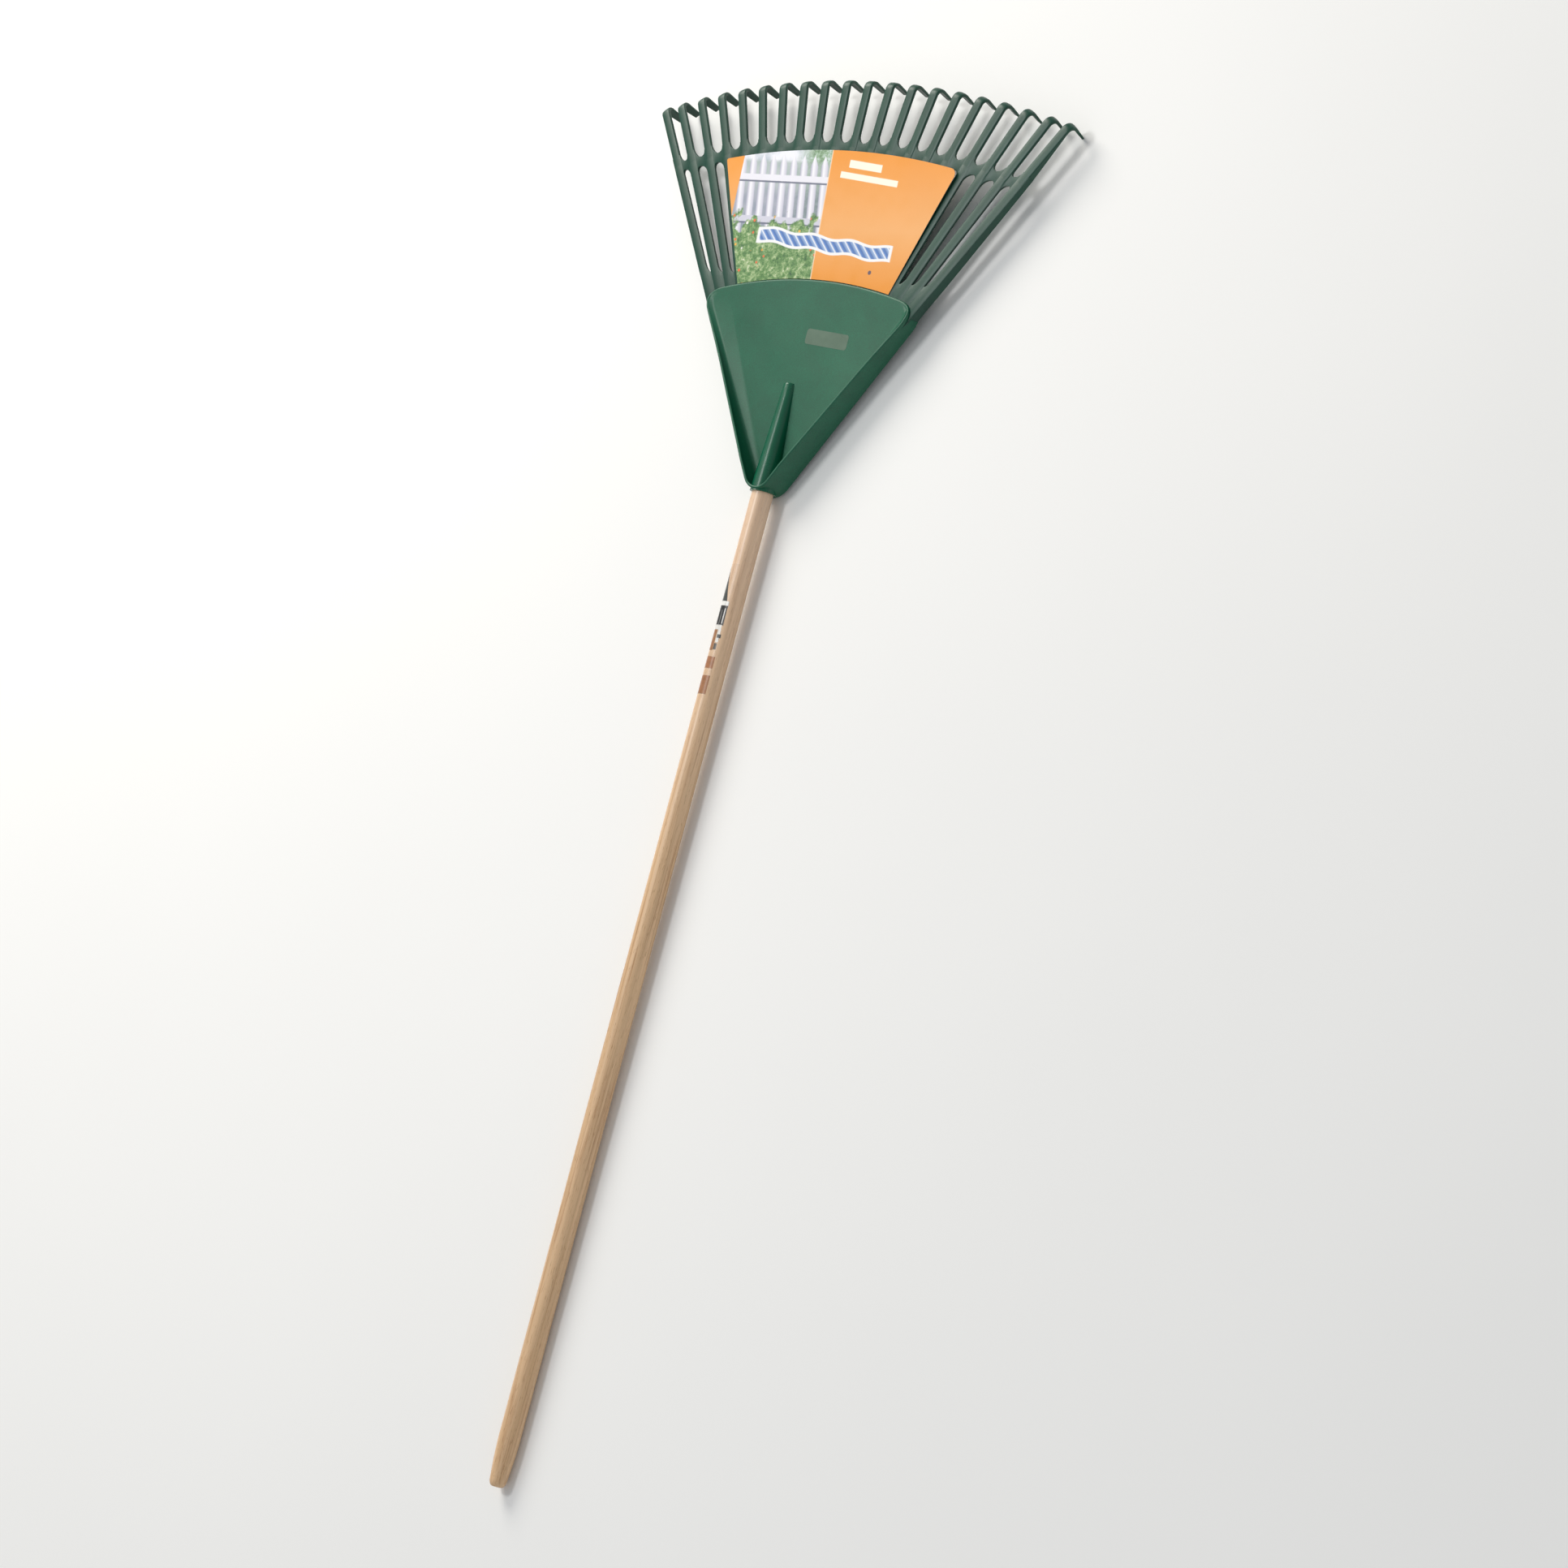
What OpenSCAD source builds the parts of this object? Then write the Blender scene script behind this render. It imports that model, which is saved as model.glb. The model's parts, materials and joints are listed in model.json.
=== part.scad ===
// Leaf rake: a moulded fan of springy tines on a tapered wooden handle.
// It lies on the floor as it is put down: tines down, card side up, +Y towards the tine tips.
// The origin is the middle of its footprint, on the floor.

/* [Handle] */
// Diameter of the wooden handle
handle_d = 23.8; // [20:0.1:26]
// Length of the handle that shows below the head
handle_shown = 1100; // [800:1:1400]
// Length of the tapered end that is driven into the socket
taper_len = 119; // [100:1:130]
// Diameter of the thin end of the taper
taper_end_d = 11.5; // [9:0.1:14]
// Length over which the butt is rounded off
butt_len = 55; // [40:1:70]
// Slope of the handle up from the floor towards the head, in degrees
handle_rise = 0.4; // [0.3:0.05:0.6]

/* [Fan] */
// Distance from the socket mouth to the middle tine tips
tip_y = 463.7; // [450:0.1:480]
// Sideways distance between neighbouring tine tips
tip_pitch = 32.3; // [30:0.1:34]
// Sideways distance from the outermost tip to the one beside it
tip_pitch_end = 25.2; // [23:0.1:27]
// How far the tip line curves back, in millimetres per square millimetre of half width
tip_curve = 0.00041; // [0.0003:0.00001:0.0005]
// Distance from the socket mouth to the roots of the lower tines
root_y = 242.9; // [236:0.1:248]
// Sideways distance between neighbouring lower tine roots
root_pitch = 17.9; // [17:0.1:19]
// How far the outermost lower tine roots lie behind the middle ones
root_back = 3; // [0:0.5:5]
// How far the outermost tips hang below the middle ones
fan_droop = 13; // [8:0.5:15]
// Width of a tine
tine_w = 10.4; // [9:0.1:11]
// Thickness of a tine
tine_t = 3.2; // [2.6:0.1:3.6]
// Slope between the handle's line and the fan, in degrees
fan_bend = 3.9; // [3.6:0.05:4.2]

/* [Cross brace] */
// Distance from the socket mouth to the outer edge of the brace
brace_y = 392.2; // [384:0.1:398]
// How far the brace curves back, in millimetres per square millimetre of half width
brace_curve = 0.00045; // [0.0003:0.00001:0.0005]
// Width of the brace
brace_w = 11.4; // [9:0.1:13]

/* [Hooks] */
// Angle through which a tine's end turns down, in degrees
hook_turn = 105; // [95:1:112]
// Radius of the bend on the middle of the tine's thickness
hook_r = 7.5; // [6:0.1:9]
// Width of the hook at its end
hook_end_w = 7.6; // [6:0.1:9]
// Thickness of the hook at its end
hook_end_t = 2.6; // [2:0.1:3]

/* [Pan] */
// Half width of the pan where its side lines meet the socket mouth
pan_half_w = 16; // [14:0.5:18]
// Half width of the pan at its top corners
pan_corner_x = 160; // [156:0.5:164]
// Distance from the socket mouth to the pan's top corners
pan_corner_y = 216; // [212:0.5:220]
// How far the pan's top edge bulges towards the tines
pan_bulge = 22; // [16:1:23]
// Radius of the rounded end at the mouth
pan_end_r = 26; // [24:0.5:28]
// Thickness of the pan and its walls
shell_t = 2.6; // [2.2:0.1:3]
// Height of the side walls over the fan's plane at the mouth
wall_h_mouth = 25; // [23:0.5:27]
// Height of the side walls over the fan's plane at the pan's top corners
wall_h_corner = 6; // [5:0.5:8]
// Depth of the side flanges under the fan's plane at the pan's top corners
flange_corner = 13; // [10:0.5:14]
// Depth of the side flanges under the fan's plane at the mouth
flange_mouth = 5; // [4:0.5:6]

/* [Socket] */
// Height of the handle's line over the fan's plane at the mouth
axis_h = 9.6; // [9:0.1:10.5]
// Wall thickness of the socket
socket_wall = 2.7; // [2.2:0.1:3]
// Distance of the fixing screw from the mouth
screw_y = 48; // [40:1:60]
// Diameter of the screw's head
screw_head_d = 8; // [7:0.5:9]
// Diameter of the screw's shank
screw_d = 3.5; // [3:0.5:4]

/* [Card and stickers] */
// Half width of the retail card at its lower edge
card_half_low = 112; // [106:1:116]
// Half width of the retail card at its upper edge
card_half_top = 171; // [168:1:174]
// Distance from the socket mouth to the upper corners of the card
card_top_y = 368; // [364:1:370]
// How far the card's upper edge bulges towards the tines
card_bulge = 15; // [12:1:16]
// Thickness of the card
card_t = 0.5; // [0.3:0.1:0.8]
// Distance of the pan sticker's middle to the right of the middle line
film_x = 40; // [38:1:50]
// Distance of the pan sticker's middle from the mouth
film_y = 174; // [160:1:190]
// Length of the pan sticker
film_len = 62; // [30:1:64]
// Thickness of the pan sticker
film_t = 0.2; // [0.1:0.05:0.3]
// Width of the pan sticker
film_w = 17; // [12:1:20]
// Distance of the handle sticker's upper end from the mouth
sticker_y = 84; // [70:1:100]
// Thickness of the handle sticker
sticker_t = 0.06; // [0.05:0.01:0.08]
// Length of the handle sticker
sticker_len = 146; // [110:1:150]
// Angle that the handle sticker is turned up by from the handle's left side
sticker_turn = 58; // [0:1:90]

/* [Hidden] */
$fn = 48;
TINES = 20;
LAST = TINES - 1;

// distance outside the mouth at which the taper starts, clear of the pan's rounded end
taper_start = 5;
// length of the rounded corner of the butt, and the share of the handle's radius where it ends
butt_corner = 9;
butt_share = 0.8;
// how far the socket stands out past the start of the taper and past its end
socket_lead = 0.1;
socket_end = 3;
// how far the lower tines reach back under the pan, and how much wider than the brace they flare there
root_depth = 6;
brace_flare = 1.6;
// length of the gap in the outer flange at the flexing root, and how much shallower it goes on
flange_gap = 1.6;
flange_step = 1;
// height of the screw's head, its depth in the socket's wall, and its reach past the handle's line
screw_head_h = 2.2;
screw_sink = 0.4;
screw_reach = 3;
// gap from the pan's edge to the card, and from the tines' faces to the card
card_gap = 1;
card_lift = 0.6;
// radius of a glue dot, and where the dots lie along the four middle tines
glue_r = 2.6;
glue_at = [30, 80];
glue_tines = [6, 8, 11, 13];
// clearance of a fixed fit, and of a flexing root over its whole travel
fit_gap = 0.15;
flex_gap = 0.35;
// overlap that fuses two shapes of one moulding
fuse = 0.2;
// distance of a tine's flexing root from the outer edge of the brace
root_stub = 5;
// depth of the outer tines' flange at the brace
flange_brace = 8;
// height of the pan's floor over the faces of the tines
pan_rise = 1;

handle_r = handle_d / 2;
fan_rise = handle_rise + fan_bend;
side_slope = (pan_corner_x - pan_half_w) / pan_corner_y;
side_angle = atan(side_slope);
pan_end_y = (pan_end_r / cos(side_angle) - pan_half_w) / side_slope;
pan_floor = tine_t / 2 - fuse + pan_rise;
card_z = tine_t / 2 + card_lift;

// heights of the mouth and of the fan's plane over the floor
mouth_z = handle_r / cos(handle_rise) + (handle_shown - butt_len) * tan(handle_rise);
plane_z = mouth_z - axis_h;

function tine_name(i) = str("tine_", i < 10 ? "0" : "", i);

// signed place of tine i across the fan, in pitches from the middle
function place(i) = i - LAST / 2;
function is_end(i) = i == 0 || i == LAST;
function spread(i, pitch, end_pitch) =
    is_end(i) ? sign(place(i)) * ((abs(place(i)) - 1) * pitch + end_pitch) : place(i) * pitch;
function end_x() = abs(spread(0, tip_pitch, tip_pitch_end));

// root and tip of tine i in the fan's frame, on the middle of its thickness
function root_of(i) =
    [spread(i, root_pitch, root_pitch), root_y - root_back * pow(place(i) / place(LAST), 2), 0];
function tip_x(i) = spread(i, tip_pitch, tip_pitch_end);
function tip_of(i) =
    [tip_x(i), tip_y - tip_curve * pow(tip_x(i), 2), -fan_droop * pow(tip_x(i) / end_x(), 2)];
function run_of(i) = tip_of(i) - root_of(i);
function tine_len(i) = norm(run_of(i));
function swing(i) = atan2(run_of(i).x, run_of(i).y);
function pitch_down(i) = asin(run_of(i).z / tine_len(i));

// distance along tine i from its root to the outer edge of the brace
function brace_at(i) =
    let (slope = run_of(i).x / run_of(i).y, x0 = root_of(i).x, y0 = root_of(i).y)
    let (x1 = x0 + slope * (brace_y - y0))
    let (x2 = x0 + slope * (brace_y - brace_curve * x1 * x1 - y0))
    (brace_y - brace_curve * x2 * x2 - y0) / run_of(i).y * tine_len(i);
function hinge_at(i) = brace_at(i) + root_stub;

// a point of tine i's own frame in the frame of the floor, before the footprint is centred
function turn_x(a, p) = [p.x, p.y * cos(a) - p.z * sin(a), p.y * sin(a) + p.z * cos(a)];
function turn_z(a, p) = [p.x * cos(a) - p.y * sin(a), p.x * sin(a) + p.y * cos(a), p.z];
function tine_dir(i, p) = turn_x(fan_rise, turn_z(-swing(i), turn_x(pitch_down(i), p)));
function tine_point(i, p) = [0, 0, plane_z] + turn_x(fan_rise, root_of(i)) + tine_dir(i, p);

// the straight end of a hook is as long as brings the outermost tine to the floor
hook_dir = [0, cos(hook_turn), -sin(hook_turn)];
hook_bend_end = [0, hook_r * sin(hook_turn), hook_r * (cos(hook_turn) - 1)];
hook_outer = [0, sin(hook_turn), cos(hook_turn)] * hook_end_t / 2;
function hook_low(i, side) =
    let (bend = [side * hook_end_w / 2, tine_len(i) - hook_r - tine_t / 2, 0])
    tine_point(i, bend + hook_bend_end + hook_outer).z;
hook_len = min(hook_low(0, -1), hook_low(0, 1)) / -tine_dir(0, hook_dir).z;

// the middle of the footprint
middle_tip = tine_point(LAST / 2 + 0.5, [0, tine_len(LAST / 2 + 0.5) - hook_r - tine_t / 2, -hook_r]);
front_y = middle_tip.y + hook_r + tine_t / 2;
back_y = -handle_shown * cos(handle_rise);
centre_y = (front_y + back_y) / 2;

module on_floor() {
    translate([0, -centre_y, 0]) children();
}

// the handle's own frame: origin in the mouth on the handle's line, +Y into the socket
module handle_frame() {
    on_floor() translate([0, 0, mouth_z]) rotate([handle_rise, 0, 0]) children();
}

// the fan's own frame: origin under the mouth on the plane of the tines
module fan_frame() {
    on_floor() translate([0, 0, plane_z]) rotate([fan_rise, 0, 0]) children();
}

// tine i's own frame inside the fan's frame: +Y along the tine from its root
module tine_frame(i) {
    translate(root_of(i)) rotate([0, 0, -swing(i)]) rotate([pitch_down(i), 0, 0]) children();
}

module block(x, y0, y1, z0, z1) {
    translate([-x / 2, y0, z0]) cube([x, y1 - y0, z1 - z0]);
}

// ---- handle ----

function butt_profile() =
    let (half = butt_share / 2, back = -handle_shown)
    concat(
        [[0, back]],
        [for (a = [0:15:90]) [handle_r * half * (1 + sin(a)), back + butt_corner * (1 - cos(a))]],
        [for (s = [0.25:0.25:1]) [
            handle_r * (butt_share + (1 - butt_share) * sin(90 * s)),
            back + butt_corner + (butt_len - butt_corner) * s
        ]]
    );

// radius of the tapered end at distance y into the socket, without its small end bevel
function taper_r(y) = handle_r - (handle_r - taper_end_d / 2) * (y + taper_start) / (taper_len + taper_start);
function taper_profile() =
    let (bevel = 1.5)
    [[handle_r, -taper_start], [taper_r(taper_len - bevel), taper_len - bevel],
        [taper_r(taper_len) - bevel, taper_len], [0, taper_len]];

module handle() {
    color("burlywood")
    difference() {
        handle_frame() rotate([-90, 0, 0]) rotate_extrude($fn = 64)
            polygon(concat(butt_profile(), taper_profile()));
        fan_frame() screw_shape(fit_gap);
    }
}

// ---- head ----

function side_x(y) = pan_half_w + side_slope * y;
function arc_y(x, half, y, bulge) = y + bulge * (1 - pow(x / half, 2));

// outline of the tray, drawn in by e, with its top edge along an arc
function pan_outline(e, top_y, bulge) =
    let (r = pan_end_r - e, half = side_x(top_y) - e / cos(side_angle), steps = 12)
    concat(
        [for (i = [0:steps]) let (a = 180 + side_angle + (180 - 2 * side_angle) * i / steps)
            [r * cos(a), pan_end_y + r * sin(a)]],
        [for (i = [0:steps]) let (x = half * (1 - 2 * i / steps)) [x, arc_y(x, half, top_y, bulge)]]
    );

// side view of everything that the tray's walls may fill
module wall_envelope() {
    far = root_y + 2;
    low_far = -flange_corner;
    rotate([90, 0, 90]) linear_extrude(2 * pan_corner_x + 100, center = true) polygon([
        [-pan_end_r, -flange_mouth],
        [pan_end_y, -flange_mouth - 1],
        [pan_corner_y, low_far],
        [far, low_far],
        [far, tine_t / 2],
        [pan_corner_y + 4, tine_t / 2],
        [pan_corner_y - 1, wall_h_corner],
        [pan_end_y, wall_h_mouth],
        [-pan_end_r, wall_h_mouth]
    ]);
}

module tray() {
    bulge_flat = 3;
    intersection() {
        translate([0, 0, -40]) linear_extrude(80) difference() {
            polygon(pan_outline(0, root_y - bulge_flat, bulge_flat));
            polygon(pan_outline(shell_t, root_y + 30, 0));
        }
        wall_envelope();
    }
    translate([0, 0, pan_floor]) linear_extrude(shell_t)
        polygon(pan_outline(fuse, pan_corner_y, pan_bulge));
    // plate under the pan's top edge that the lower tines grow from
    translate([0, 0, -tine_t / 2]) linear_extrude(tine_t) intersection() {
        polygon(pan_outline(fuse, root_y - bulge_flat, bulge_flat + 2));
        translate([-pan_corner_x - 50, pan_corner_y - 14]) square([2 * pan_corner_x + 100, 60]);
    }
    // web that joins the plate to the pan's floor
    translate([0, 0, -tine_t / 2]) linear_extrude(pan_floor + tine_t / 2 + fuse) difference() {
        polygon(pan_outline(fuse, pan_corner_y - 10, pan_bulge));
        polygon(pan_outline(fuse, pan_corner_y - 10 - shell_t, pan_bulge));
    }
}

// the tapered bore, or with a larger grow the outside of the socket, in the handle's frame
module socket_cone(grow, lead, y1) {
    rotate([-90, 0, 0]) rotate_extrude($fn = 64) polygon([
        [0, -taper_start - lead],
        [handle_r + grow, -taper_start - lead],
        [handle_r + grow, -taper_start],
        [taper_r(y1) + grow, y1],
        [0, y1]
    ]);
}

module lower_tine(i) {
    tine_frame(i) difference() {
        union() {
            block(tine_w, -root_depth, hinge_at(i), -tine_t / 2, tine_t / 2);
            translate([0, brace_at(i) - brace_w / 2, -tine_t / 2])
                cylinder(r = brace_w / 2 + brace_flare, h = tine_t);
        }
        translate([0, hinge_at(i), 0]) rotate([0, 90, 0])
            cylinder(r = tine_t / 2 + flex_gap, h = 2 * tine_w, center = true);
        block(2 * tine_w, hinge_at(i), hinge_at(i) + tine_w, -tine_w, tine_w);
    }
}

function brace_point(i) =
    root_of(i) + run_of(i) * (brace_at(i) - brace_w / 2) / tine_len(i);

module brace_link(i) {
    a = brace_point(i);
    run = brace_point(i + 1) - a;
    translate(a) rotate([0, 0, atan2(run.y, run.x)]) rotate([0, -asin(run.z / norm(run)), 0])
        translate([0, -brace_w / 2, -tine_t / 2]) cube([norm(run), brace_w, tine_t]);
}

// flange under the outer edge of an outermost tine, from y0 to y1 along it
module end_flange(i, y0, d0, y1, d1) {
    out = sign(place(i)) * (tine_w - shell_t) / 2;
    tine_frame(i) translate([out - shell_t / 2, 0, 0]) rotate([90, 0, 90]) linear_extrude(shell_t)
        polygon([[y0, 0], [y0, -d0], [y1, -d1], [y1, 0]]);
}

module rake_head() {
    color("seagreen") difference() {
        union() {
            fan_frame() {
                tray();
                for (i = [0:LAST]) lower_tine(i);
                for (i = [0:LAST - 1]) brace_link(i);
                for (i = [0, LAST]) end_flange(i, -2, flange_corner, brace_at(i), flange_brace);
            }
            handle_frame() socket_cone(socket_wall, socket_lead, taper_len + socket_end);
        }
        handle_frame() socket_cone(fit_gap, pan_end_r, taper_len + flex_gap);
        fan_frame() screw_shape(fit_gap);
    }
}

// ---- tines ----

function arc_points(centre, r, from, to) =
    let (steps = 8, turn = (to - from) / steps)
    [for (k = [0:steps]) centre + r * [cos(from + turn * k), sin(from + turn * k)]];

// side view of a tine from its flexing root at y0 to the end of its hook
function tine_profile(y0, bend_y) =
    let (centre = [bend_y, -hook_r], end_angle = 90 - hook_turn, out = [cos(end_angle), sin(end_angle)])
    let (tip = centre + hook_r * out + hook_len * [sin(end_angle), -cos(end_angle)])
    concat(
        arc_points([y0, 0], tine_t / 2, 90, 270),
        arc_points(centre, hook_r - tine_t / 2, 90, end_angle),
        [tip - out * hook_end_t / 2, tip + out * hook_end_t / 2],
        arc_points(centre, hook_r + tine_t / 2, end_angle, 90)
    );

// end view of a tine, narrowing down its hook
module tine_front() {
    low = -hook_r - hook_len - tine_t;
    polygon([
        [-tine_w / 2, tine_t], [-tine_w / 2, -hook_r], [-hook_end_w / 2, low],
        [hook_end_w / 2, low], [tine_w / 2, -hook_r], [tine_w / 2, tine_t]
    ]);
}

module tine(i) {
    bend_y = tine_len(i) - hook_r - tine_t / 2;
    color("darkgreen") fan_frame() {
        tine_frame(i) intersection() {
            rotate([90, 0, 90]) linear_extrude(2 * tine_w, center = true)
                polygon(tine_profile(hinge_at(i), bend_y));
            rotate([90, 0, 0]) linear_extrude(4 * tine_len(i), center = true) tine_front();
        }
        if (is_end(i))
            end_flange(i, hinge_at(i) + flange_gap, flange_brace - flange_step, bend_y, tine_t / 2 + fuse);
    }
}

// ---- fixings and trim ----

// a screw that goes up through the socket's underside into the wood
module screw_shape(grow) {
    axis_z = axis_h - screw_y * tan(fan_bend);
    head_z = axis_z - handle_r - screw_sink;
    translate([0, screw_y, 0]) {
        translate([0, 0, head_z - screw_head_h - grow])
            cylinder(d = screw_head_d + 2 * grow, h = screw_head_h + 2 * grow);
        translate([0, 0, head_z - screw_head_h / 2])
            cylinder(d = screw_d + 2 * grow, h = axis_z - head_z + screw_reach + grow);
    }
}

module socket_screw() {
    color("silver") fan_frame() screw_shape(0);
}

module retail_card() {
    steps = 16;
    points = concat(
        [for (i = [0:steps]) let (x = card_half_low * (2 * i / steps - 1))
            [x, arc_y(x, side_x(pan_corner_y), pan_corner_y, pan_bulge) + card_gap]],
        [for (i = [0:steps]) let (x = card_half_top * (1 - 2 * i / steps))
            [x, arc_y(x, card_half_top, card_top_y, card_bulge)]]
    );
    color("orange") fan_frame() translate([0, 0, card_z]) linear_extrude(card_t) polygon(points);
}

// dots of hot-melt glue between the card and the four tines around the middle
module card_glue_dots() {
    lift = 0.05;
    color("ivory") fan_frame() for (i = glue_tines) for (along = glue_at) {
        p = root_of(i) + run_of(i) * along / tine_len(i);
        foot_z = p.z + tine_t / 2 + lift;
        translate([p.x, p.y, foot_z]) cylinder(r = glue_r, h = card_z - foot_z);
    }
}

// film wrapped round the side of the handle, some 100 degrees of it
module handle_sticker() {
    low = -handle_r * 0.7;
    high = handle_r * 0.85;
    color("dimgray") handle_frame() rotate([90, 0, 0]) rotate([0, 0, -sticker_turn]) {
        translate([0, 0, sticker_y]) difference() {
            intersection() {
                cylinder(r = handle_r + sticker_t, h = sticker_len, $fn = 64);
                translate([-2 * handle_r, low, -1]) cube([2 * handle_r, high - low, sticker_len + 2]);
            }
            translate([0, 0, -1]) cylinder(r = handle_r, h = sticker_len + 2, $fn = 64);
        }
    }
}

module pan_sticker() {
    color("darkseagreen") fan_frame() translate([film_x, film_y, pan_floor + shell_t]) rotate([0, 0, -4])
        linear_extrude(film_t) square([film_len, film_w], center = true);
}

handle();
rake_head();
for (i = [0:LAST]) {
    tine(i);
}
socket_screw();
retail_card();
card_glue_dots();
handle_sticker();
pan_sticker();
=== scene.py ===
import json
import math

import bmesh
import bpy
from bpy.props import FloatProperty, FloatVectorProperty, IntProperty, PointerProperty
from mathutils import Matrix, Vector


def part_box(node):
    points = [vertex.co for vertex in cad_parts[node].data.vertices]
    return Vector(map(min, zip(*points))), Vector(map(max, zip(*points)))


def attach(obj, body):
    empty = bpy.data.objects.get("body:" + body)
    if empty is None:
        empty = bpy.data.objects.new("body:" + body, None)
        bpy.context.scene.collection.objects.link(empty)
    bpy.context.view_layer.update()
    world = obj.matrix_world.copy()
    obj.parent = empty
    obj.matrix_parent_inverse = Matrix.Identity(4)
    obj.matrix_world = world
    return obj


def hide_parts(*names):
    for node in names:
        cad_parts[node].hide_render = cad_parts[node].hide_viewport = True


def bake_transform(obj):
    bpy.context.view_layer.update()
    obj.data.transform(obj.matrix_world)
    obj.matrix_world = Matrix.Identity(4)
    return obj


bl_info = {
    "name": "Leaf Rake",
    "version": (1, 0, 0),
    "blender": (4, 5, 0),
    "location": "View3D > Sidebar > Leaf Rake",
    "description": "Builds a moulded leaf rake on a wooden handle, piece by piece, around its frame",
    "category": "Add Mesh",
}

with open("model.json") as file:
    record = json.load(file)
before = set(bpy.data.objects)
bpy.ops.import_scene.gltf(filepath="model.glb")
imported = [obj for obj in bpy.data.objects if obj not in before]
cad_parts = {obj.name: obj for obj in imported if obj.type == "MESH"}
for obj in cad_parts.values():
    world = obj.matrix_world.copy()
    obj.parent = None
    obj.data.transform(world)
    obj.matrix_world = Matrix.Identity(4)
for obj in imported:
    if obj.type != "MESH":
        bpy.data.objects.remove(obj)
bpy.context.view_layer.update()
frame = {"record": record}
MM = 0.001
TINES = 20
LAST = TINES - 1
GRIP_GAP = 1 * MM


# ---- sizes and colours that a user would change ----

def length(name, description, default):
    """A length in metres, from a default in millimetres."""
    return FloatProperty(name=name, description=description, default=default * MM, unit="LENGTH", precision=5)


def colour(name, description, default):
    """A colour, given as an sRGB hex value and kept as linear light."""
    return FloatVectorProperty(name=name, description=description, default=linear(default), subtype="COLOR",
                               size=3, min=0, max=1)


def linear(text):
    """The linear light of an sRGB hex value."""
    parts = [int(text[k:k + 2], 16) / 255 for k in (1, 3, 5)]
    return tuple(p / 12.92 if p <= 0.04045 else ((p + 0.055) / 1.055) ** 2.4 for p in parts)


class RakeSizes(bpy.types.PropertyGroup):
    """Sizes of the rake's pieces, which repeat the driving dimensions of the frame."""
    taper_len: length("Taper length", "Length of the handle's tapered end in the socket", 119)
    taper_start: length("Taper start", "Distance outside the mouth at which the taper starts", 5)
    taper_end_r: length("Taper end radius", "Radius of the thin end of the handle", 5.75)
    butt_len: length("Butt length", "Length over which the butt is rounded off", 55)
    tip_y: length("Tip distance", "Distance from the mouth to the middle tine tips", 463.7)
    tip_pitch: length("Tip pitch", "Sideways distance between tine tips", 32.3)
    tip_pitch_end: length("End tip pitch", "Sideways distance from the outermost tip to the next", 25.2)
    root_y: length("Root distance", "Distance from the mouth to the lower tine roots", 242.9)
    root_pitch: length("Root pitch", "Sideways distance between lower tine roots", 17.9)
    root_back: length("Root curve", "How far the outermost root lies behind the middle", 3)
    droop: length("Fan droop", "How far the outermost tips hang below the middle ones", 13)
    tine_w: length("Tine width", "Width of a tine", 10.4)
    tine_t: length("Tine thickness", "Thickness of a tine", 3.2)
    brace_y: length("Brace distance", "Distance from the mouth to the brace's outer edge", 392.2)
    brace_w: length("Brace width", "Width of the cross brace", 11.4)
    root_stub: length("Root stub", "Distance from the brace to where a tine starts to flex", 5)
    hook_r: length("Hook radius", "Radius of a hook's bend", 7.5)
    hook_end_w: length("Hook end width", "Width of a hook at its end", 7.6)
    hook_end_t: length("Hook end thickness", "Thickness of a hook at its end", 2.6)
    pan_half_w: length("Pan half width", "Half width of the pan at the mouth", 16)
    pan_corner_x: length("Pan corner half width", "Half width of the pan at its top corners", 160)
    pan_corner_y: length("Pan corner distance", "Distance from the mouth to the top corners", 216)
    pan_bulge: length("Pan bulge", "How far the pan's top edge bulges", 22)
    pan_end_r: length("Pan end radius", "Radius of the rounded end at the mouth", 26)
    shell_t: length("Shell thickness", "Thickness of the pan and its walls", 2.6)
    wall_mouth: length("Wall at the mouth", "Height of the walls at the mouth", 25)
    wall_corner: length("Wall at the corners", "Height of the walls at the top corners", 6)
    flange_mouth: length("Flange at the mouth", "Depth of the side flanges at the mouth", 5)
    flange_corner: length("Flange at the corners", "Depth of the side flanges at the corners", 13)
    flange_brace: length("Flange at the brace", "Depth of the side flanges at the brace", 8)
    axis_h: length("Handle line height", "Height of the handle's line over the fan", 9.6)
    socket_wall: length("Socket wall", "Wall thickness of the socket", 2.7)
    fan_bend: FloatProperty(name="Fan bend", description="Slope between handle and fan", default=math.radians(3.9),
                            subtype="ANGLE")
    hook_turn: FloatProperty(name="Hook turn", description="Angle that a tine's end turns down through",
                             default=math.radians(105), subtype="ANGLE")
    tip_curve: FloatProperty(name="Tip curve", description="Curve of the tip line, per metre", default=0.41)
    brace_curve: FloatProperty(name="Brace curve", description="Curve of the brace, per metre", default=0.45)
    segments: IntProperty(name="Segments", description="Sides of the round pieces", default=64, min=24, max=128)


class RakeColours(bpy.types.PropertyGroup):
    """Colours of the rake's finishes."""
    pan: colour("Pan green", "Colour of the moulded pan", "#005B3F")
    # painted shade: the tines are the pan's plastic, and their darker green stands for the shade on them
    tines: colour("Tine green", "Colour of the moulded tines", "#00402F")
    wood: colour("Handle wood", "Colour of the lacquered wood", "#D9B58C")
    wood_dark: colour("Wood grain", "Colour of the wood's grain lines", "#C0946A")
    card: colour("Card", "Ground colour of the printed card", "#EE940C")
    floor: colour("Floor", "Colour of the studio floor", "#F4F4F2")


CLASSES = [RakeSizes, RakeColours]


def register_groups():
    """The sizes and colours live on the scene."""
    for kind in CLASSES:
        bpy.utils.register_class(kind)
    bpy.types.Scene.rake_sizes = PointerProperty(type=RakeSizes)
    bpy.types.Scene.rake_colours = PointerProperty(type=RakeColours)


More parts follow.
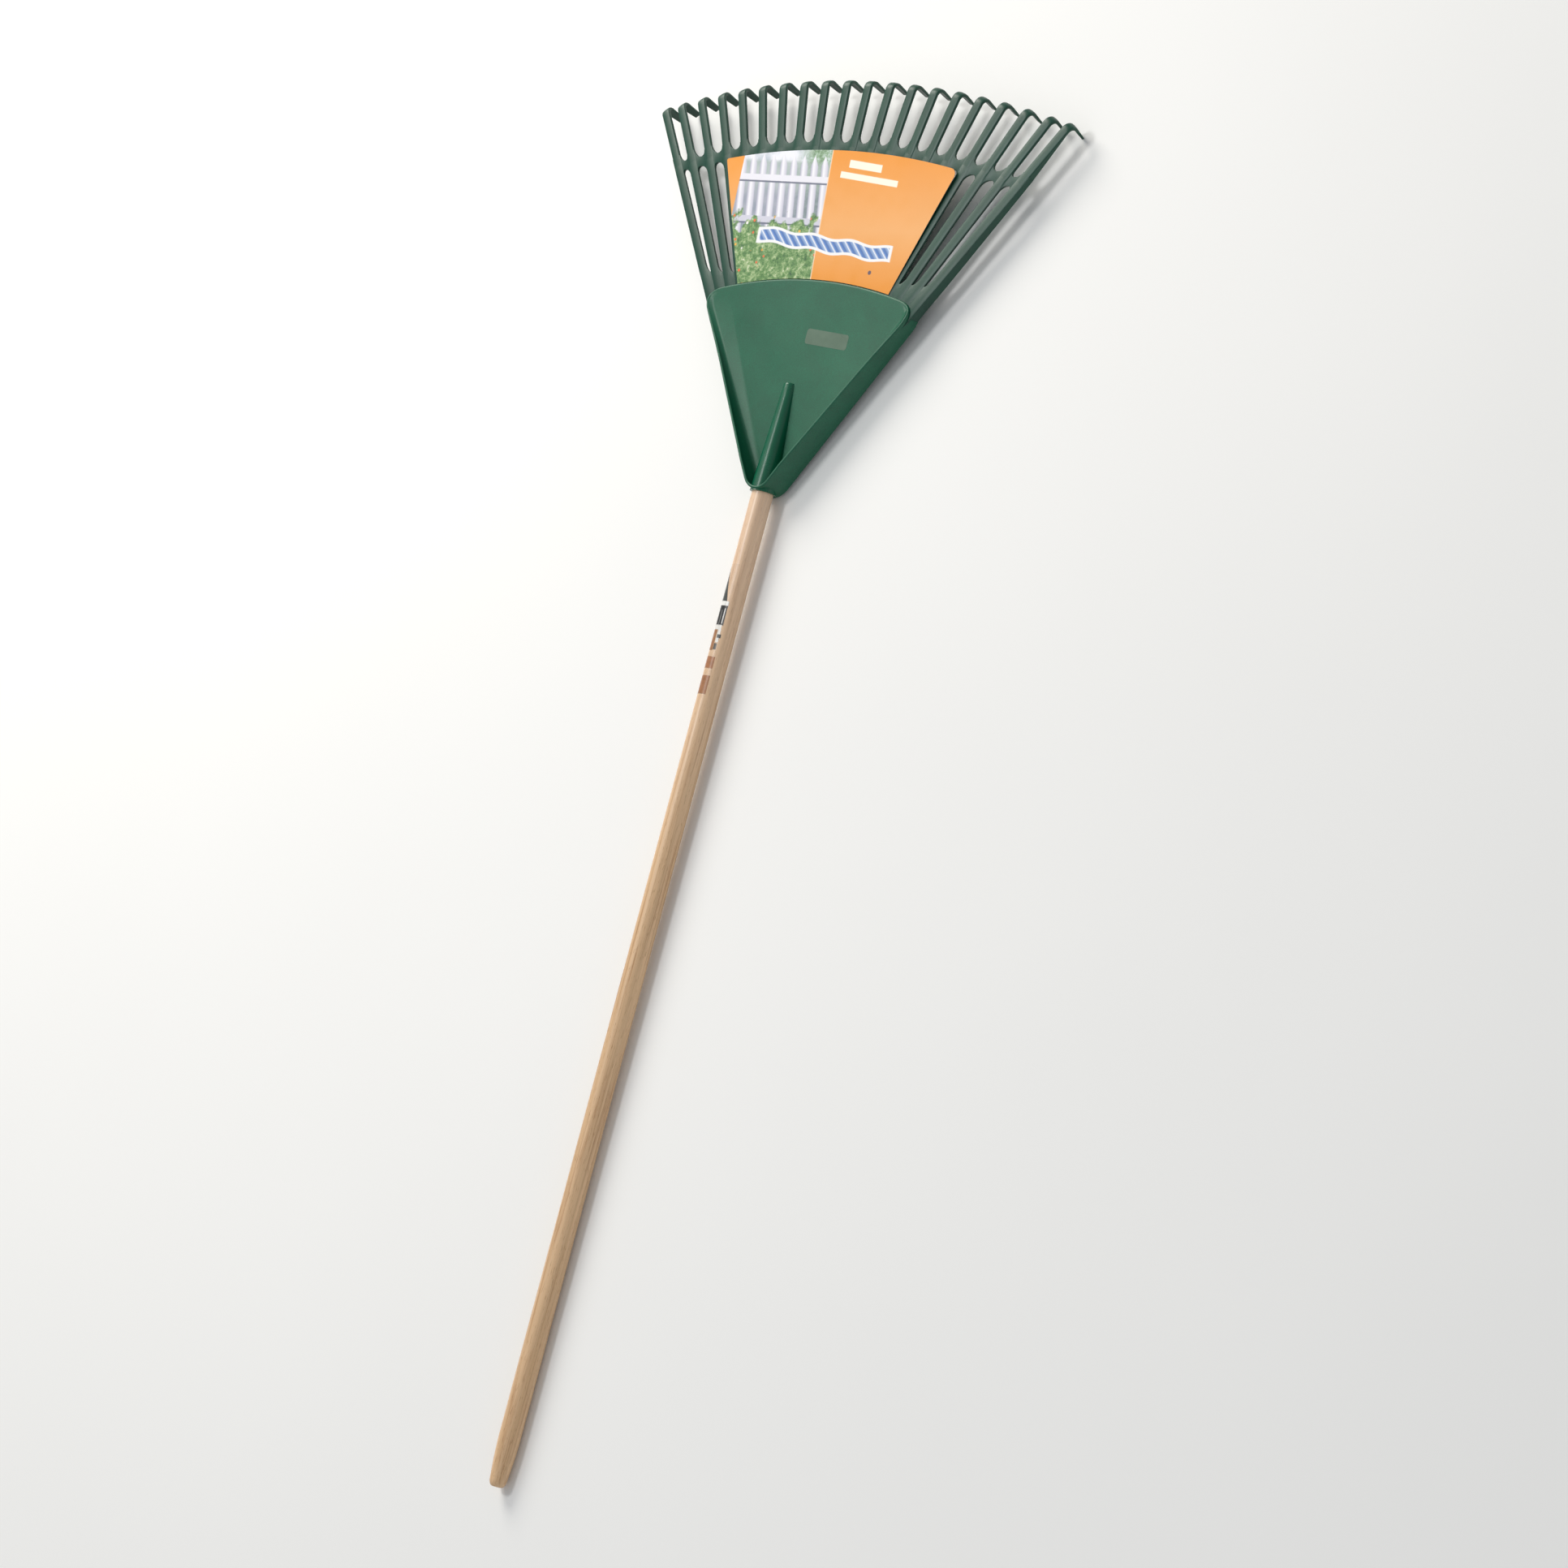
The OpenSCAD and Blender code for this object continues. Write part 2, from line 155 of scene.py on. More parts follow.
def sizes():
    return bpy.context.scene.rake_sizes


def colours():
    return bpy.context.scene.rake_colours


# ---- where things are ----

def mount(name):
    return next(m for m in frame["record"]["mounts"] if m["name"] == name)


def handle_matrix():
    """The handle's frame: its origin is in the socket's mouth, and +Y runs into the socket."""
    grip = mount("handle_grip")
    back = Vector(grip["axis"])
    mouth = Vector(grip["pos_m"]) - back * (grip["dims"]["length_mm"] * MM / 2 + sizes().taper_start + GRIP_GAP)
    return Matrix.Translation(mouth) @ Matrix.Rotation(math.asin(-back.z), 4, "X")


def handle_radius():
    return mount("handle_grip")["dims"]["r_mm"] * MM


def handle_shown():
    return mount("handle_grip")["dims"]["length_mm"] * MM + sizes().taper_start + GRIP_GAP + sizes().butt_len


def fan_matrix():
    """The fan's frame: its origin is under the mouth on the plane of the tines."""
    handle = handle_matrix()
    rise = handle.to_euler().x + sizes().fan_bend
    origin = handle.translation - Vector((0, 0, sizes().axis_h))
    return Matrix.Translation(origin) @ Matrix.Rotation(rise, 4, "X")


def place(i):
    """Signed place of tine i across the fan, in pitches from the middle."""
    return i - LAST / 2


def spread(i, pitch, end_pitch):
    if i in (0, LAST):
        return math.copysign((abs(place(i)) - 1) * pitch + end_pitch, place(i))
    return place(i) * pitch


def root_of(i):
    s = sizes()
    return Vector((spread(i, s.root_pitch, s.root_pitch), s.root_y - s.root_back * (place(i) / place(LAST)) ** 2, 0))


def tip_of(i):
    s = sizes()
    x = spread(i, s.tip_pitch, s.tip_pitch_end)
    end_x = spread(LAST, s.tip_pitch, s.tip_pitch_end)
    return Vector((x, s.tip_y - s.tip_curve * x * x, -s.droop * (x / end_x) ** 2))


def tine_matrix(i):
    """Tine i's frame inside the fan's frame: +Y along the tine from its root."""
    run = tip_of(i) - root_of(i)
    swing = math.atan2(run.x, run.y)
    return (Matrix.Translation(root_of(i)) @ Matrix.Rotation(-swing, 4, "Z")
            @ Matrix.Rotation(math.asin(run.z / run.length), 4, "X"))


def tine_length(i):
    return (tip_of(i) - root_of(i)).length


def along_to(i, curve):
    """Distance along tine i to where it crosses a curve that gives y for each x."""
    root, run = root_of(i), tip_of(i) - root_of(i)
    t = 0.5
    for _ in range(4):
        t = (curve(root.x + run.x * t) - root.y) / run.y
    return t * run.length


def brace_outer(x):
    return sizes().brace_y - sizes().brace_curve * x * x


def brace_inner(x):
    return brace_outer(x) - sizes().brace_w


def root_line(x):
    half = spread(LAST, sizes().root_pitch, sizes().root_pitch)
    return sizes().root_y - sizes().root_back * (x / half) ** 2


def hinge_at(i):
    return along_to(i, brace_outer) + sizes().root_stub


def bend_at(i):
    """Distance along tine i to where its hook starts to bend."""
    return tine_length(i) - sizes().hook_r - sizes().tine_t / 2


# ---- modelling by hand, in code ----

def deselect():
    if bpy.context.object and bpy.context.object.mode != "OBJECT":
        bpy.ops.object.mode_set(mode="OBJECT")
    bpy.ops.object.select_all(action="DESELECT")


def only(piece):
    """Selects one piece and makes it the active one."""
    deselect()
    piece.select_set(True)
    bpy.context.view_layer.objects.active = piece


def put_ring(piece, ring, where):
    """Moves the selected points of a ring to where their station along it says."""
    mesh = bmesh.from_edit_mesh(piece.data)
    station = mesh.verts.layers.int["station"]
    for v in mesh.verts:
        if v.select:
            v.co = where(ring, v[station])
    bmesh.update_edit_mesh(piece.data)


def sweep(name, count, rings, where):
    """A closed shell: a filled circle, extruded ring by ring, where(ring, k) placing point k of each ring."""
    deselect()
    bpy.ops.mesh.primitive_circle_add(vertices=count, radius=MM, fill_type="NGON")
    piece = bpy.context.object
    piece.name = name
    piece.data.attributes.new("station", "INT", "POINT").data.foreach_set("value", range(count))
    bpy.ops.object.mode_set(mode="EDIT")
    bpy.ops.mesh.select_all(action="SELECT")
    put_ring(piece, rings[0], where)
    for ring in rings[1:]:
        bpy.ops.mesh.extrude_region_move()
        put_ring(piece, ring, where)
    bpy.ops.mesh.select_all(action="SELECT")
    bpy.ops.mesh.normals_make_consistent(inside=False)
    bpy.ops.object.mode_set(mode="OBJECT")
    piece.data.attributes.remove(piece.data.attributes["station"])
    return piece


def turned(name, profile, matrix):
    """A turned shell about +Y: profile is a list of (radius, y)."""
    count = sizes().segments

    def where(ring, k):
        a = 2 * math.pi * k / count
        return matrix @ Vector((ring[0] * math.sin(a), ring[1], ring[0] * math.cos(a)))
    return sweep(name, count, profile, where)


def apply_modifier(piece, kind, **settings):
    only(piece)
    modifier = piece.modifiers.new(kind.title(), kind)
    for key, value in settings.items():
        setattr(modifier, key, value)
    bpy.ops.object.modifier_apply(modifier=modifier.name)


def grid(columns, rows, point):
    """A grid of points in columns and rows, each where point(column, row) says."""
    deselect()
    bpy.ops.mesh.primitive_grid_add(x_subdivisions=columns - 1, y_subdivisions=rows - 1, size=MM)
    piece = bpy.context.object
    for index, v in enumerate(piece.data.vertices):
        v.co = point(index % columns, index // columns)
    return piece


def join(pieces, name):
    deselect()
    for piece in pieces:
        piece.select_set(True)
    bpy.context.view_layer.objects.active = pieces[0]
    bpy.ops.object.join()
    pieces[0].name = name
    return pieces[0]


def smooth(piece, degrees=35):
    only(piece)
    bpy.ops.object.shade_smooth_by_angle(angle=math.radians(degrees))


def finish_piece(piece, name, node, body, material):
    """Names a piece, gives it its finish, and makes it stand for its node and ride on its body."""
    piece.name = name
    piece.data.name = name
    piece.data.materials.clear()
    piece.data.materials.append(material)
    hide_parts(node)
    if body:
        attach(piece, body)
    return piece


def step(edge0, edge1, value):
    """Smooth step from 0 at edge0 to 1 at edge1."""
    t = min(max((value - edge0) / (edge1 - edge0), 0), 1)
    return t * t * (3 - 2 * t)


def mix(a, b, t):
    return a + (b - a) * t


# ---- materials ----

def node(tree, kind, links=(), stops=(), **settings):
    """Adds a node: links gives each input a value, a socket or another node, and stops fill a colour ramp."""
    made = tree.nodes.new("ShaderNode" + kind)
    for key, value in settings.items():
        setattr(made, key, value)
    for key, value in links.items() if isinstance(links, dict) else enumerate(links):
        socket = made.inputs[key]
        if isinstance(value, bpy.types.Node):
            value = next(output for output in value.outputs if output.enabled)
        if isinstance(value, bpy.types.NodeSocket):
            tree.links.new(value, socket)
        else:
            socket.default_value = (*value, 1) if socket.type == "RGBA" and len(value) == 3 else value
    while stops and len(made.color_ramp.elements) < len(stops):
        made.color_ramp.elements.new(0.5)
    for k, (position, value) in enumerate(stops):
        made.color_ramp.elements[k].position = position
        made.color_ramp.elements[k].color = (*value, 1)
    return made


def new_material(name):
    """An empty node material, its tree, and the object coordinates that its patterns follow."""
    material = bpy.data.materials.new(name)
    material.use_nodes = True
    tree = material.node_tree
    tree.nodes.clear()
    return material, tree, node(tree, "TexCoord").outputs["Object"]


def shade(value, factor):
    return tuple(min(v * factor, 1) for v in value)


def layered(tree, base, *layers, mode="MIX"):
    """Lays colours over a base one after another: layers are (mask, colour)."""
    for mask, tone in layers:
        base = node(tree, "Mix", {0: mask, 6: base, 7: tone}, data_type="RGBA", blend_type=mode)
    return base


def above(tree, value, edge, soft=0.4 * MM):
    """1 where value is over edge, 0 under it, with a soft printed edge."""
    over = node(tree, "Math", [value, edge], operation="SUBTRACT")
    return node(tree, "MapRange", {"Value": over, "From Min": -soft, "From Max": soft})


def below(tree, value, edge, soft=0.4 * MM):
    return node(tree, "Math", [1.0, above(tree, value, edge, soft)], operation="SUBTRACT")


def both(tree, *masks):
    """1 where every mask is 1."""
    result = masks[0]
    for mask in masks[1:]:
        result = node(tree, "Math", [result, mask], operation="MULTIPLY")
    return result


def within(tree, value, low, high, soft=0.4 * MM):
    """1 where value is between low and high."""
    return both(tree, above(tree, value, low, soft), below(tree, value, high, soft))


def along(tree, x, factor, y):
    """y with a share of x added: what stays level along a slanting line."""
    return node(tree, "Math", [x, factor, y], operation="MULTIPLY_ADD")


def local_to(tree, where, matrix):
    """A point's place in another frame, as a vector and its parts."""
    inverse = matrix.inverted()
    place_in = node(tree, "Mapping", {"Vector": where, "Location": inverse.translation,
                                      "Rotation": inverse.to_euler()})
    return place_in, node(tree, "SeparateXYZ", [place_in]).outputs


def moulded_polypropylene(name, base, speckle, smoothest, roughest):
    """Polypropylene, injection moulded: waxy satin skin with spark-eroded grain, flow marks and fine dust."""
    material, tree, where = new_material(name)
    # flow marks some 40 mm long, which fan out from the gate and vary the green a little
    flow = node(tree, "TexNoise", {"Vector": where, "Scale": 22.0, "Detail": 4.0, "Roughness": 0.55,
                                   "Distortion": 0.6})
    tone = node(tree, "ValToRGB", [flow], [(0.3, shade(base, 0.86)), (0.55, base), (0.8, shade(base, 1.12))])
    # dust and fine pits, drawn about 1 mm wide so that they show
    grain = node(tree, "TexNoise", {"Vector": where, "Scale": 900.0, "Detail": 3.0, "Roughness": 0.7})
    dots = node(tree, "ValToRGB", [grain], [(0.36, (0.72,) * 3), (0.5, (1.0,) * 3), (0.66, (1.22,) * 3)])
    tone = layered(tree, tone, (speckle, layered(tree, tone, (1.0, dots), mode="MULTIPLY")))
    worn = node(tree, "TexNoise", {"Vector": where, "Scale": 9.0, "Detail": 6.0, "Roughness": 0.65})
    rough = node(tree, "MapRange", {"Value": worn, "From Min": 0.3, "From Max": 0.7, "To Min": smoothest,
                                    "To Max": roughest})
    # moulded grain of 0.3 mm, drawn as 0.8 mm
    texture = node(tree, "TexNoise", {"Vector": where, "Scale": 1250.0, "Detail": 2.0})
    relief = node(tree, "Bump", {"Height": texture, "Strength": 0.18, "Distance": 0.0002})
    shader = node(tree, "BsdfPrincipled", {"Base Color": tone, "Roughness": rough, "IOR": 1.49, "Normal": relief})
    node(tree, "OutputMaterial", [shader])
    return material


def lacquered_hardwood():
    """Straight-grained ash, turned and clear lacquered: long pale and brown streaks under a thin gloss."""
    material, tree, where = new_material("ash_turned_lacquered")
    c = colours()
    turn = (-handle_matrix().to_euler().x, 0, 0)
    # grain lines about 1.5 mm apart that run 60 times as long as they are wide
    stretch = node(tree, "Mapping", {"Vector": where, "Rotation": turn, "Scale": (1, 0.016, 1)})
    streak = node(tree, "TexNoise", {"Vector": stretch, "Scale": 420.0, "Detail": 5.0, "Roughness": 0.62,
                                     "Distortion": 0.4})
    broad = node(tree, "TexNoise", {"Vector": stretch, "Scale": 95.0, "Detail": 3.0, "Distortion": 1.2})
    lines = node(tree, "ValToRGB", [streak], [(0.34, c.wood_dark), (0.47, c.wood), (0.7, shade(c.wood, 1.12))])
    wide = node(tree, "ValToRGB", [broad],
                [(0.35, (0.9, 0.86, 0.8)), (0.5, (1, 1, 1)), (0.68, (1.05, 1.03, 1.0))])
    base = layered(tree, lines, (1.0, wide), mode="MULTIPLY")
    # open pores, dark ticks some 8 mm long
    pore_at = node(tree, "Mapping", {"Vector": where, "Rotation": turn, "Scale": (1, 0.07, 1)})
    pores = node(tree, "TexNoise", {"Vector": pore_at, "Scale": 1500.0, "Detail": 1.0})
    ticks = node(tree, "ValToRGB", [pores], [(0.29, (0.62, 0.5, 0.4)), (0.36, (1, 1, 1))])
    base = layered(tree, base, (0.75, layered(tree, base, (1.0, ticks), mode="MULTIPLY")))
    # painted light: the head end is painted paler and pinker than the rest
    reach = node(tree, "SeparateXYZ", [where]).outputs["Y"]
    painted_light_head_end = node(tree, "MapRange", {"Value": reach, "From Min": -0.1, "From Max": 0.3})
    base = layered(tree, base, (painted_light_head_end, layered(tree, base, (0.35, linear("#EBD3C2")))))
    relief = node(tree, "Bump", {"Height": streak, "Strength": 0.12, "Distance": 0.0003})
    shader = node(tree, "BsdfPrincipled", {
        "Base Color": base, "Roughness": 0.42, "IOR": 1.5, "Coat Weight": 0.25, "Coat Roughness": 0.22,
        "Coat IOR": 1.5, "Normal": relief})
    node(tree, "OutputMaterial", [shader])
    return material


def printed_card():
    """Coated card, offset printed: an orange ground with a garden picture, pale blank bands and a blue ribbon."""
    material, tree, where = new_material("coated_card_printed")
    plane, (x, y, _) = local_to(tree, where, fan_matrix())
    soft_noise = node(tree, "TexNoise", {"Vector": plane, "Scale": 60.0, "Detail": 4.0})
    leaf_noise = node(tree, "TexNoise", {"Vector": plane, "Scale": 170.0, "Detail": 5.0, "Roughness": 0.7})

    # the orange ground pales a little towards the lower edge
    low_part = node(tree, "MapRange", {"Value": y, "From Min": 0.23, "From Max": 0.38})
    ground = node(tree, "ValToRGB", [low_part],
                  [(0.0, shade(colours().card, 0.97)), (0.45, linear("#F0AC62")), (1.0, colours().card)])

    # garden picture: haze and foliage, a picket fence with rails, grass and flowers
    foliage = node(tree, "ValToRGB", [leaf_noise],
                   [(0.3, linear("#4F6F4B")), (0.5, linear("#8FAF8C")), (0.7, linear("#D9E2E6"))])
    haze = node(tree, "ValToRGB", [soft_noise], [(0.35, linear("#B9C4CF")), (0.6, linear("#ECEDF4"))])
    run = along(tree, y, 0.16, x)
    cell = node(tree, "Math", [node(tree, "Math", [run, 15.5 * MM], operation="DIVIDE")], operation="FRACT")
    off = node(tree, "Math", [node(tree, "Math", [cell, 0.5], operation="SUBTRACT")], operation="ABSOLUTE")
    # pickets narrow to a point over their last 12 mm
    top = along(tree, off, -0.036, 0.376)
    picket = both(tree, below(tree, off, 0.34, 0.03), below(tree, y, top, 0.8 * MM))
    picket_tone = node(tree, "ValToRGB", [cell],
                       [(0.16, linear("#A9A9BE")), (0.42, linear("#F4F3F8")), (0.8, linear("#C6C5D4"))])
    gap_tone = layered(tree, linear("#7F8798"), (above(tree, y, 0.338, 10 * MM), linear("#9FB0A8")))
    picture = layered(tree, haze, (above(tree, x, -0.052, 14 * MM), foliage),
                      (both(tree, below(tree, y, 0.368, 2 * MM), 0.75), gap_tone), (picket, picket_tone))
    for rail_y, tone in ((0.3455, "#E9E8F0"), (0.2985, "#CFCFDC")):
        picture = layered(tree, picture, (within(tree, y, rail_y, rail_y + 7 * MM), linear(tone)),
                          (within(tree, y, rail_y - 2 * MM, rail_y), linear("#6F7486")))
    bush = below(tree, y, along(tree, soft_noise, 0.075, 0.262), 3 * MM)
    bush_tone = node(tree, "ValToRGB", [leaf_noise], [
        (0.3, linear("#2F5A33")), (0.47, linear("#5E8B4A")), (0.62, linear("#A9C08A")), (0.7, linear("#E4E6CE"))])
    flower_at = node(tree, "TexVoronoi", {"Vector": plane, "Scale": 120.0, "Randomness": 1.0})
    bloom = both(tree, below(tree, flower_at, 0.2, 0.06), bush, above(tree, soft_noise, 0.52, 0.03))
    pick = node(tree, "SeparateColor", [flower_at.outputs["Color"]])
    bloom_tone = node(tree, "ValToRGB", [pick],
                      [(0.35, linear("#E8642C")), (0.5, linear("#F4B13C")), (0.75, linear("#F6F2EC"))])
    bloom_tone.color_ramp.interpolation = "CONSTANT"
    picture = layered(tree, picture, (bush, bush_tone), (bloom, bloom_tone))

    right_edge = along(tree, y, -0.05, 0.0065)
    in_picture = within(tree, x, -0.144, right_edge)
    past = node(tree, "Math", [x, right_edge], operation="SUBTRACT")
    pale_edge = both(tree, within(tree, past, -0.4 * MM, 0.9 * MM, 0.5 * MM), 0.7)
    result = layered(tree, ground, (in_picture, picture), (pale_edge, linear("#FBE9CF")))

    # blank pale bands where a maker prints its name
    tilt = along(tree, x, 0.09, y)
    for x0, x1, y0, y1 in ((0.016, 0.064, 0.366, 0.3745), (0.006, 0.091, 0.3535, 0.3605)):
        band = both(tree, within(tree, x, x0, x1), within(tree, tilt, y0, y1))
        result = layered(tree, result, (band, linear("#FFF6E2")))

    # a blue ribbon with a white border, waved along its length, and a dark dot under it
    swing = node(tree, "Math", [node(tree, "Math", [x, 110.0], operation="MULTIPLY")], operation="SINE")
    line = along(tree, swing, 1.6 * MM, along(tree, x, 0.075, y))
    border = both(tree, within(tree, line, 0.2695, 0.2875), within(tree, x, -0.098, 0.104, 0.8 * MM))
    core = both(tree, within(tree, line, 0.2725, 0.2845), within(tree, x, -0.094, 0.1, 0.8 * MM))
    across = node(tree, "Math", [node(tree, "Math", [x, y], operation="ADD"), 84.0], operation="MULTIPLY")
    ribbon = node(tree, "ValToRGB", [node(tree, "Math", [across], operation="FRACT")], [
        (0.0, linear("#2E5FA8")), (0.46, linear("#9DB9DE")), (0.54, linear("#F3F5F8")), (0.8, linear("#4D7CC0"))])
    dot = node(tree, "VectorMath", [plane, (0.0785, 0.2505, 2.2 * MM)], operation="DISTANCE")
    result = layered(tree, result, (border, linear("#F4F4F4")), (core, ribbon),
                     (below(tree, dot, 2.4 * MM), linear("#5A4A58")))

    # halftone dots of 0.3 mm, drawn as 0.9 mm, and faint scuffs in the coating
    dots = node(tree, "TexVoronoi", {"Vector": plane, "Scale": 1100.0, "Randomness": 0.2})
    tint = node(tree, "ValToRGB", [dots], [(0.2, (0.96,) * 3), (0.6, (1.0,) * 3)])
    result = layered(tree, result, (1.0, tint), mode="MULTIPLY")
    scuff = node(tree, "MapRange", {"Value": soft_noise, "From Min": 0.3, "From Max": 0.7, "To Min": 0.34,
                                    "To Max": 0.5})
    relief = node(tree, "Bump", {"Height": soft_noise, "Strength": 0.15, "Distance": 0.0006})
    shader = node(tree, "BsdfPrincipled", {
        "Base Color": result, "Roughness": scuff, "IOR": 1.5, "Coat Weight": 0.2, "Coat Roughness": 0.3,
        "Normal": relief})
    node(tree, "OutputMaterial", [shader])
    return material


def printed_film():
    """Clear film, screen printed: blank dark, pale and brown blocks on a thin gloss sticker."""
    material, tree, where = new_material("clear_film_printed")
    local, (x, y, z) = local_to(tree, where, handle_matrix())
    down = node(tree, "Math", [y, -1.0], operation="MULTIPLY")
    left = node(tree, "Math", [x, -1.0], operation="MULTIPLY")
    wear = node(tree, "TexNoise", {"Vector": local, "Scale": 260.0, "Detail": 4.0, "Roughness": 0.7})
    # how far round from the left silhouette towards the top, in degrees
    round_at = node(tree, "Math", [node(tree, "Math", [z, left], operation="ARCTAN2")], operation="DEGREES")
    # (start, end, lowest angle, highest angle, colour): lengths in metres from the mouth
    blocks = (
        (0.086, 0.127, 8, 100, "#4A4E4B"),
        (0.126, 0.1312, 8, 113, "#F2F1EC"),
        (0.131, 0.153, 8, 112, "#262626"),
        (0.134, 0.151, 98, 103, "#EDEBE6"),
        (0.136, 0.152, 80, 84, "#A9A8A4"),
        (0.1525, 0.158, 30, 106, "#E6E4DE"),
        (0.158, 0.181, 8, 86, "#A8764F"),
        (0.157, 0.172, 90, 108, "#E6E4DE"),
        (0.163, 0.167, 94, 116, "#2A2A2A"),
        (0.173, 0.180, 88, 106, "#56534E"),
        (0.188, 0.201, 8, 118, "#AD7650"),
        (0.209, 0.2295, 8, 117, "#A9754F"),
    )
    # the dark wedge narrows to a point at its upper end
    wedge = node(tree, "MapRange", {"Value": down, "From Min": 0.086, "From Max": 0.127, "To Min": 52.0,
                                    "To Max": 0.0})
    reach = node(tree, "Math", [round_at, wedge], operation="ADD")
    base = linear("#E9D9C3")
    solid = 0.0
    for start, end, low, high, tone in blocks:
        mask = both(tree, within(tree, down, start, end), within(tree, reach, low, high, 1.5))
        base = layered(tree, base, (mask, linear(tone)))
        solid = node(tree, "Math", [solid, mask], operation="MAXIMUM")
    scratch = node(tree, "ValToRGB", [wear], [(0.34, (0.72,) * 3), (0.52, (1.0,) * 3)])
    base = layered(tree, base, (1.0, scratch), mode="MULTIPLY")
    cover = node(tree, "MapRange", {"Value": solid, "To Min": 0.05, "To Max": 0.94})
    shader = node(tree, "BsdfPrincipled", {"Base Color": base, "Roughness": 0.35, "IOR": 1.5, "Alpha": cover})
    node(tree, "OutputMaterial", [shader])
    return material


def clouded(name, noise, stops, surface):
    """A material whose tone drifts softly between two colours: noise and surface are those nodes' values."""
    material, tree, where = new_material(name)
    cloud = node(tree, "TexNoise", {"Vector": where, **noise})
    tone = node(tree, "ValToRGB", [cloud], stops)
    node(tree, "OutputMaterial", [node(tree, "BsdfPrincipled", {"Base Color": tone, **surface})])
    return material


def card_board():
    """Unprinted greyboard: the fibrous back and cut edge of the card."""
    return clouded("greyboard_plain", {"Scale": 700.0, "Detail": 5.0, "Roughness": 0.7},
                   [(0.35, linear("#9C968A")), (0.65, linear("#C9C3B6"))], {"Roughness": 0.85, "IOR": 1.45})


def frosted_film():
    """Frosted film, die cut and stuck down: a faint grey-green veil over the plastic."""
    return clouded("frosted_film_blank", {"Scale": 60.0, "Detail": 3.0},
                   [(0.3, linear("#58735F")), (0.7, linear("#66806C"))],
                   {"Roughness": 0.5, "IOR": 1.5, "Alpha": 0.8})


def hot_melt_glue():
    """Hot-melt adhesive, pressed while soft: milky, slightly cloudy and waxy."""
    return clouded("hot_melt_pressed", {"Scale": 400.0, "Detail": 3.0},
                   [(0.35, linear("#D8CFB4")), (0.65, linear("#EFE8D2"))], {"Roughness": 0.32, "IOR": 1.48})


def studio_paper():
    """Seamless studio paper: matt, pale and slightly cloudy."""
    return clouded("studio_paper_matt", {"Scale": 1.5, "Detail": 3.0},
                   [(0.3, shade(colours().floor, 0.985)), (0.7, colours().floor)], {"Roughness": 0.9, "IOR": 1.45})


def zinc_plated_steel():
    """Steel, cold headed and zinc plated: a cool grey metal with faint bright patches."""
    material, tree, where = new_material("steel_zinc_plated")
    patch = node(tree, "TexNoise", {"Vector": where, "Scale": 600.0, "Detail": 4.0})
    tone = node(tree, "ValToRGB", [patch], [(0.35, linear("#9A9C9C")), (0.65, linear("#C6C8C6"))])
    rough = node(tree, "MapRange", {"Value": patch, "To Min": 0.26, "To Max": 0.44})
    shader = node(tree, "BsdfPrincipled", {"Base Color": tone, "Metallic": 1.0, "Roughness": rough})
    node(tree, "OutputMaterial", [shader])
    return material


# ---- the handle ----

def handle_profile():
    """(radius, y) from the butt to the end of the taper."""
    s, r, back = sizes(), handle_radius(), -handle_shown()
    corner, nose = 9 * MM, 0.8
    points = [(r * 0.12, back)]
    points += [(r * nose * (0.5 + 0.5 * math.sin(a)), back + corner * (1 - math.cos(a)))
               for a in (math.radians(k) for k in range(0, 91, 10))]
    points += [(r * mix(nose, 1, math.sin(math.radians(9 * k))), back + mix(corner, s.butt_len, k / 10))
               for k in range(1, 11)]
    points += [(r, mix(back + s.butt_len, -s.taper_start, k / 12)) for k in range(1, 13)]
    bevel = 1.5 * MM
    points += [(s.taper_end_r, s.taper_len - bevel), (s.taper_end_r - bevel, s.taper_len)]
    return points


# ---- the head ----

ARC = (90, 67.5, 45, 22.5)
ACROSS = (-1, -0.5, 0, 0.5, 1)
COLUMNS = len(ARC) * 2 + len(ACROSS)
CROWN = 0.5 * MM
TINE_GROWTH = 0.1 * MM
BORE_GAP = 0.1 * MM


def fan_rows():
    """Rows of the fan along each tine: a curve across it, and which way the slot's round end points there."""
    return ((lambda x: root_line(x) - 46 * MM, 0), (lambda x: root_line(x) - 8 * MM, 0), (root_line, -1),
            (brace_inner, 1), (brace_outer, -1))


def tine_edge(i, curve, side):
    """Middle of the slot beside tine i, tine i's edge, and the way the slot runs at each, where a curve crosses."""
    centre = tine_matrix(i) @ Vector((0, along_to(i, curve), 0))
    direction = (tip_of(i) - root_of(i)).normalized()
    across = Vector((direction.y, -direction.x, 0)).normalized()
    edge = centre + across * side * sizes().tine_w / 2
    j = i + side
    if not 0 <= j <= LAST:
        return None, edge, direction, direction
    other = tine_matrix(j) @ Vector((0, along_to(j, curve), 0))
    shared = (direction + (tip_of(j) - root_of(j)).normalized()).normalized()
    return (centre + other) / 2, edge, direction, shared


def tucked(point):
    """An outer edge's point beside the pan, drawn in to the pan's side line."""
    s = sizes()
    line = mix(s.pan_half_w, s.pan_corner_x, point.y / s.pan_corner_y) - 1.5 * MM
    over = max(abs(point.x) - line, 0) * (1 - step(s.pan_corner_y - 20 * MM, s.pan_corner_y + 35 * MM, point.y))
    return point - Vector((math.copysign(over, point.x), 0, 0))


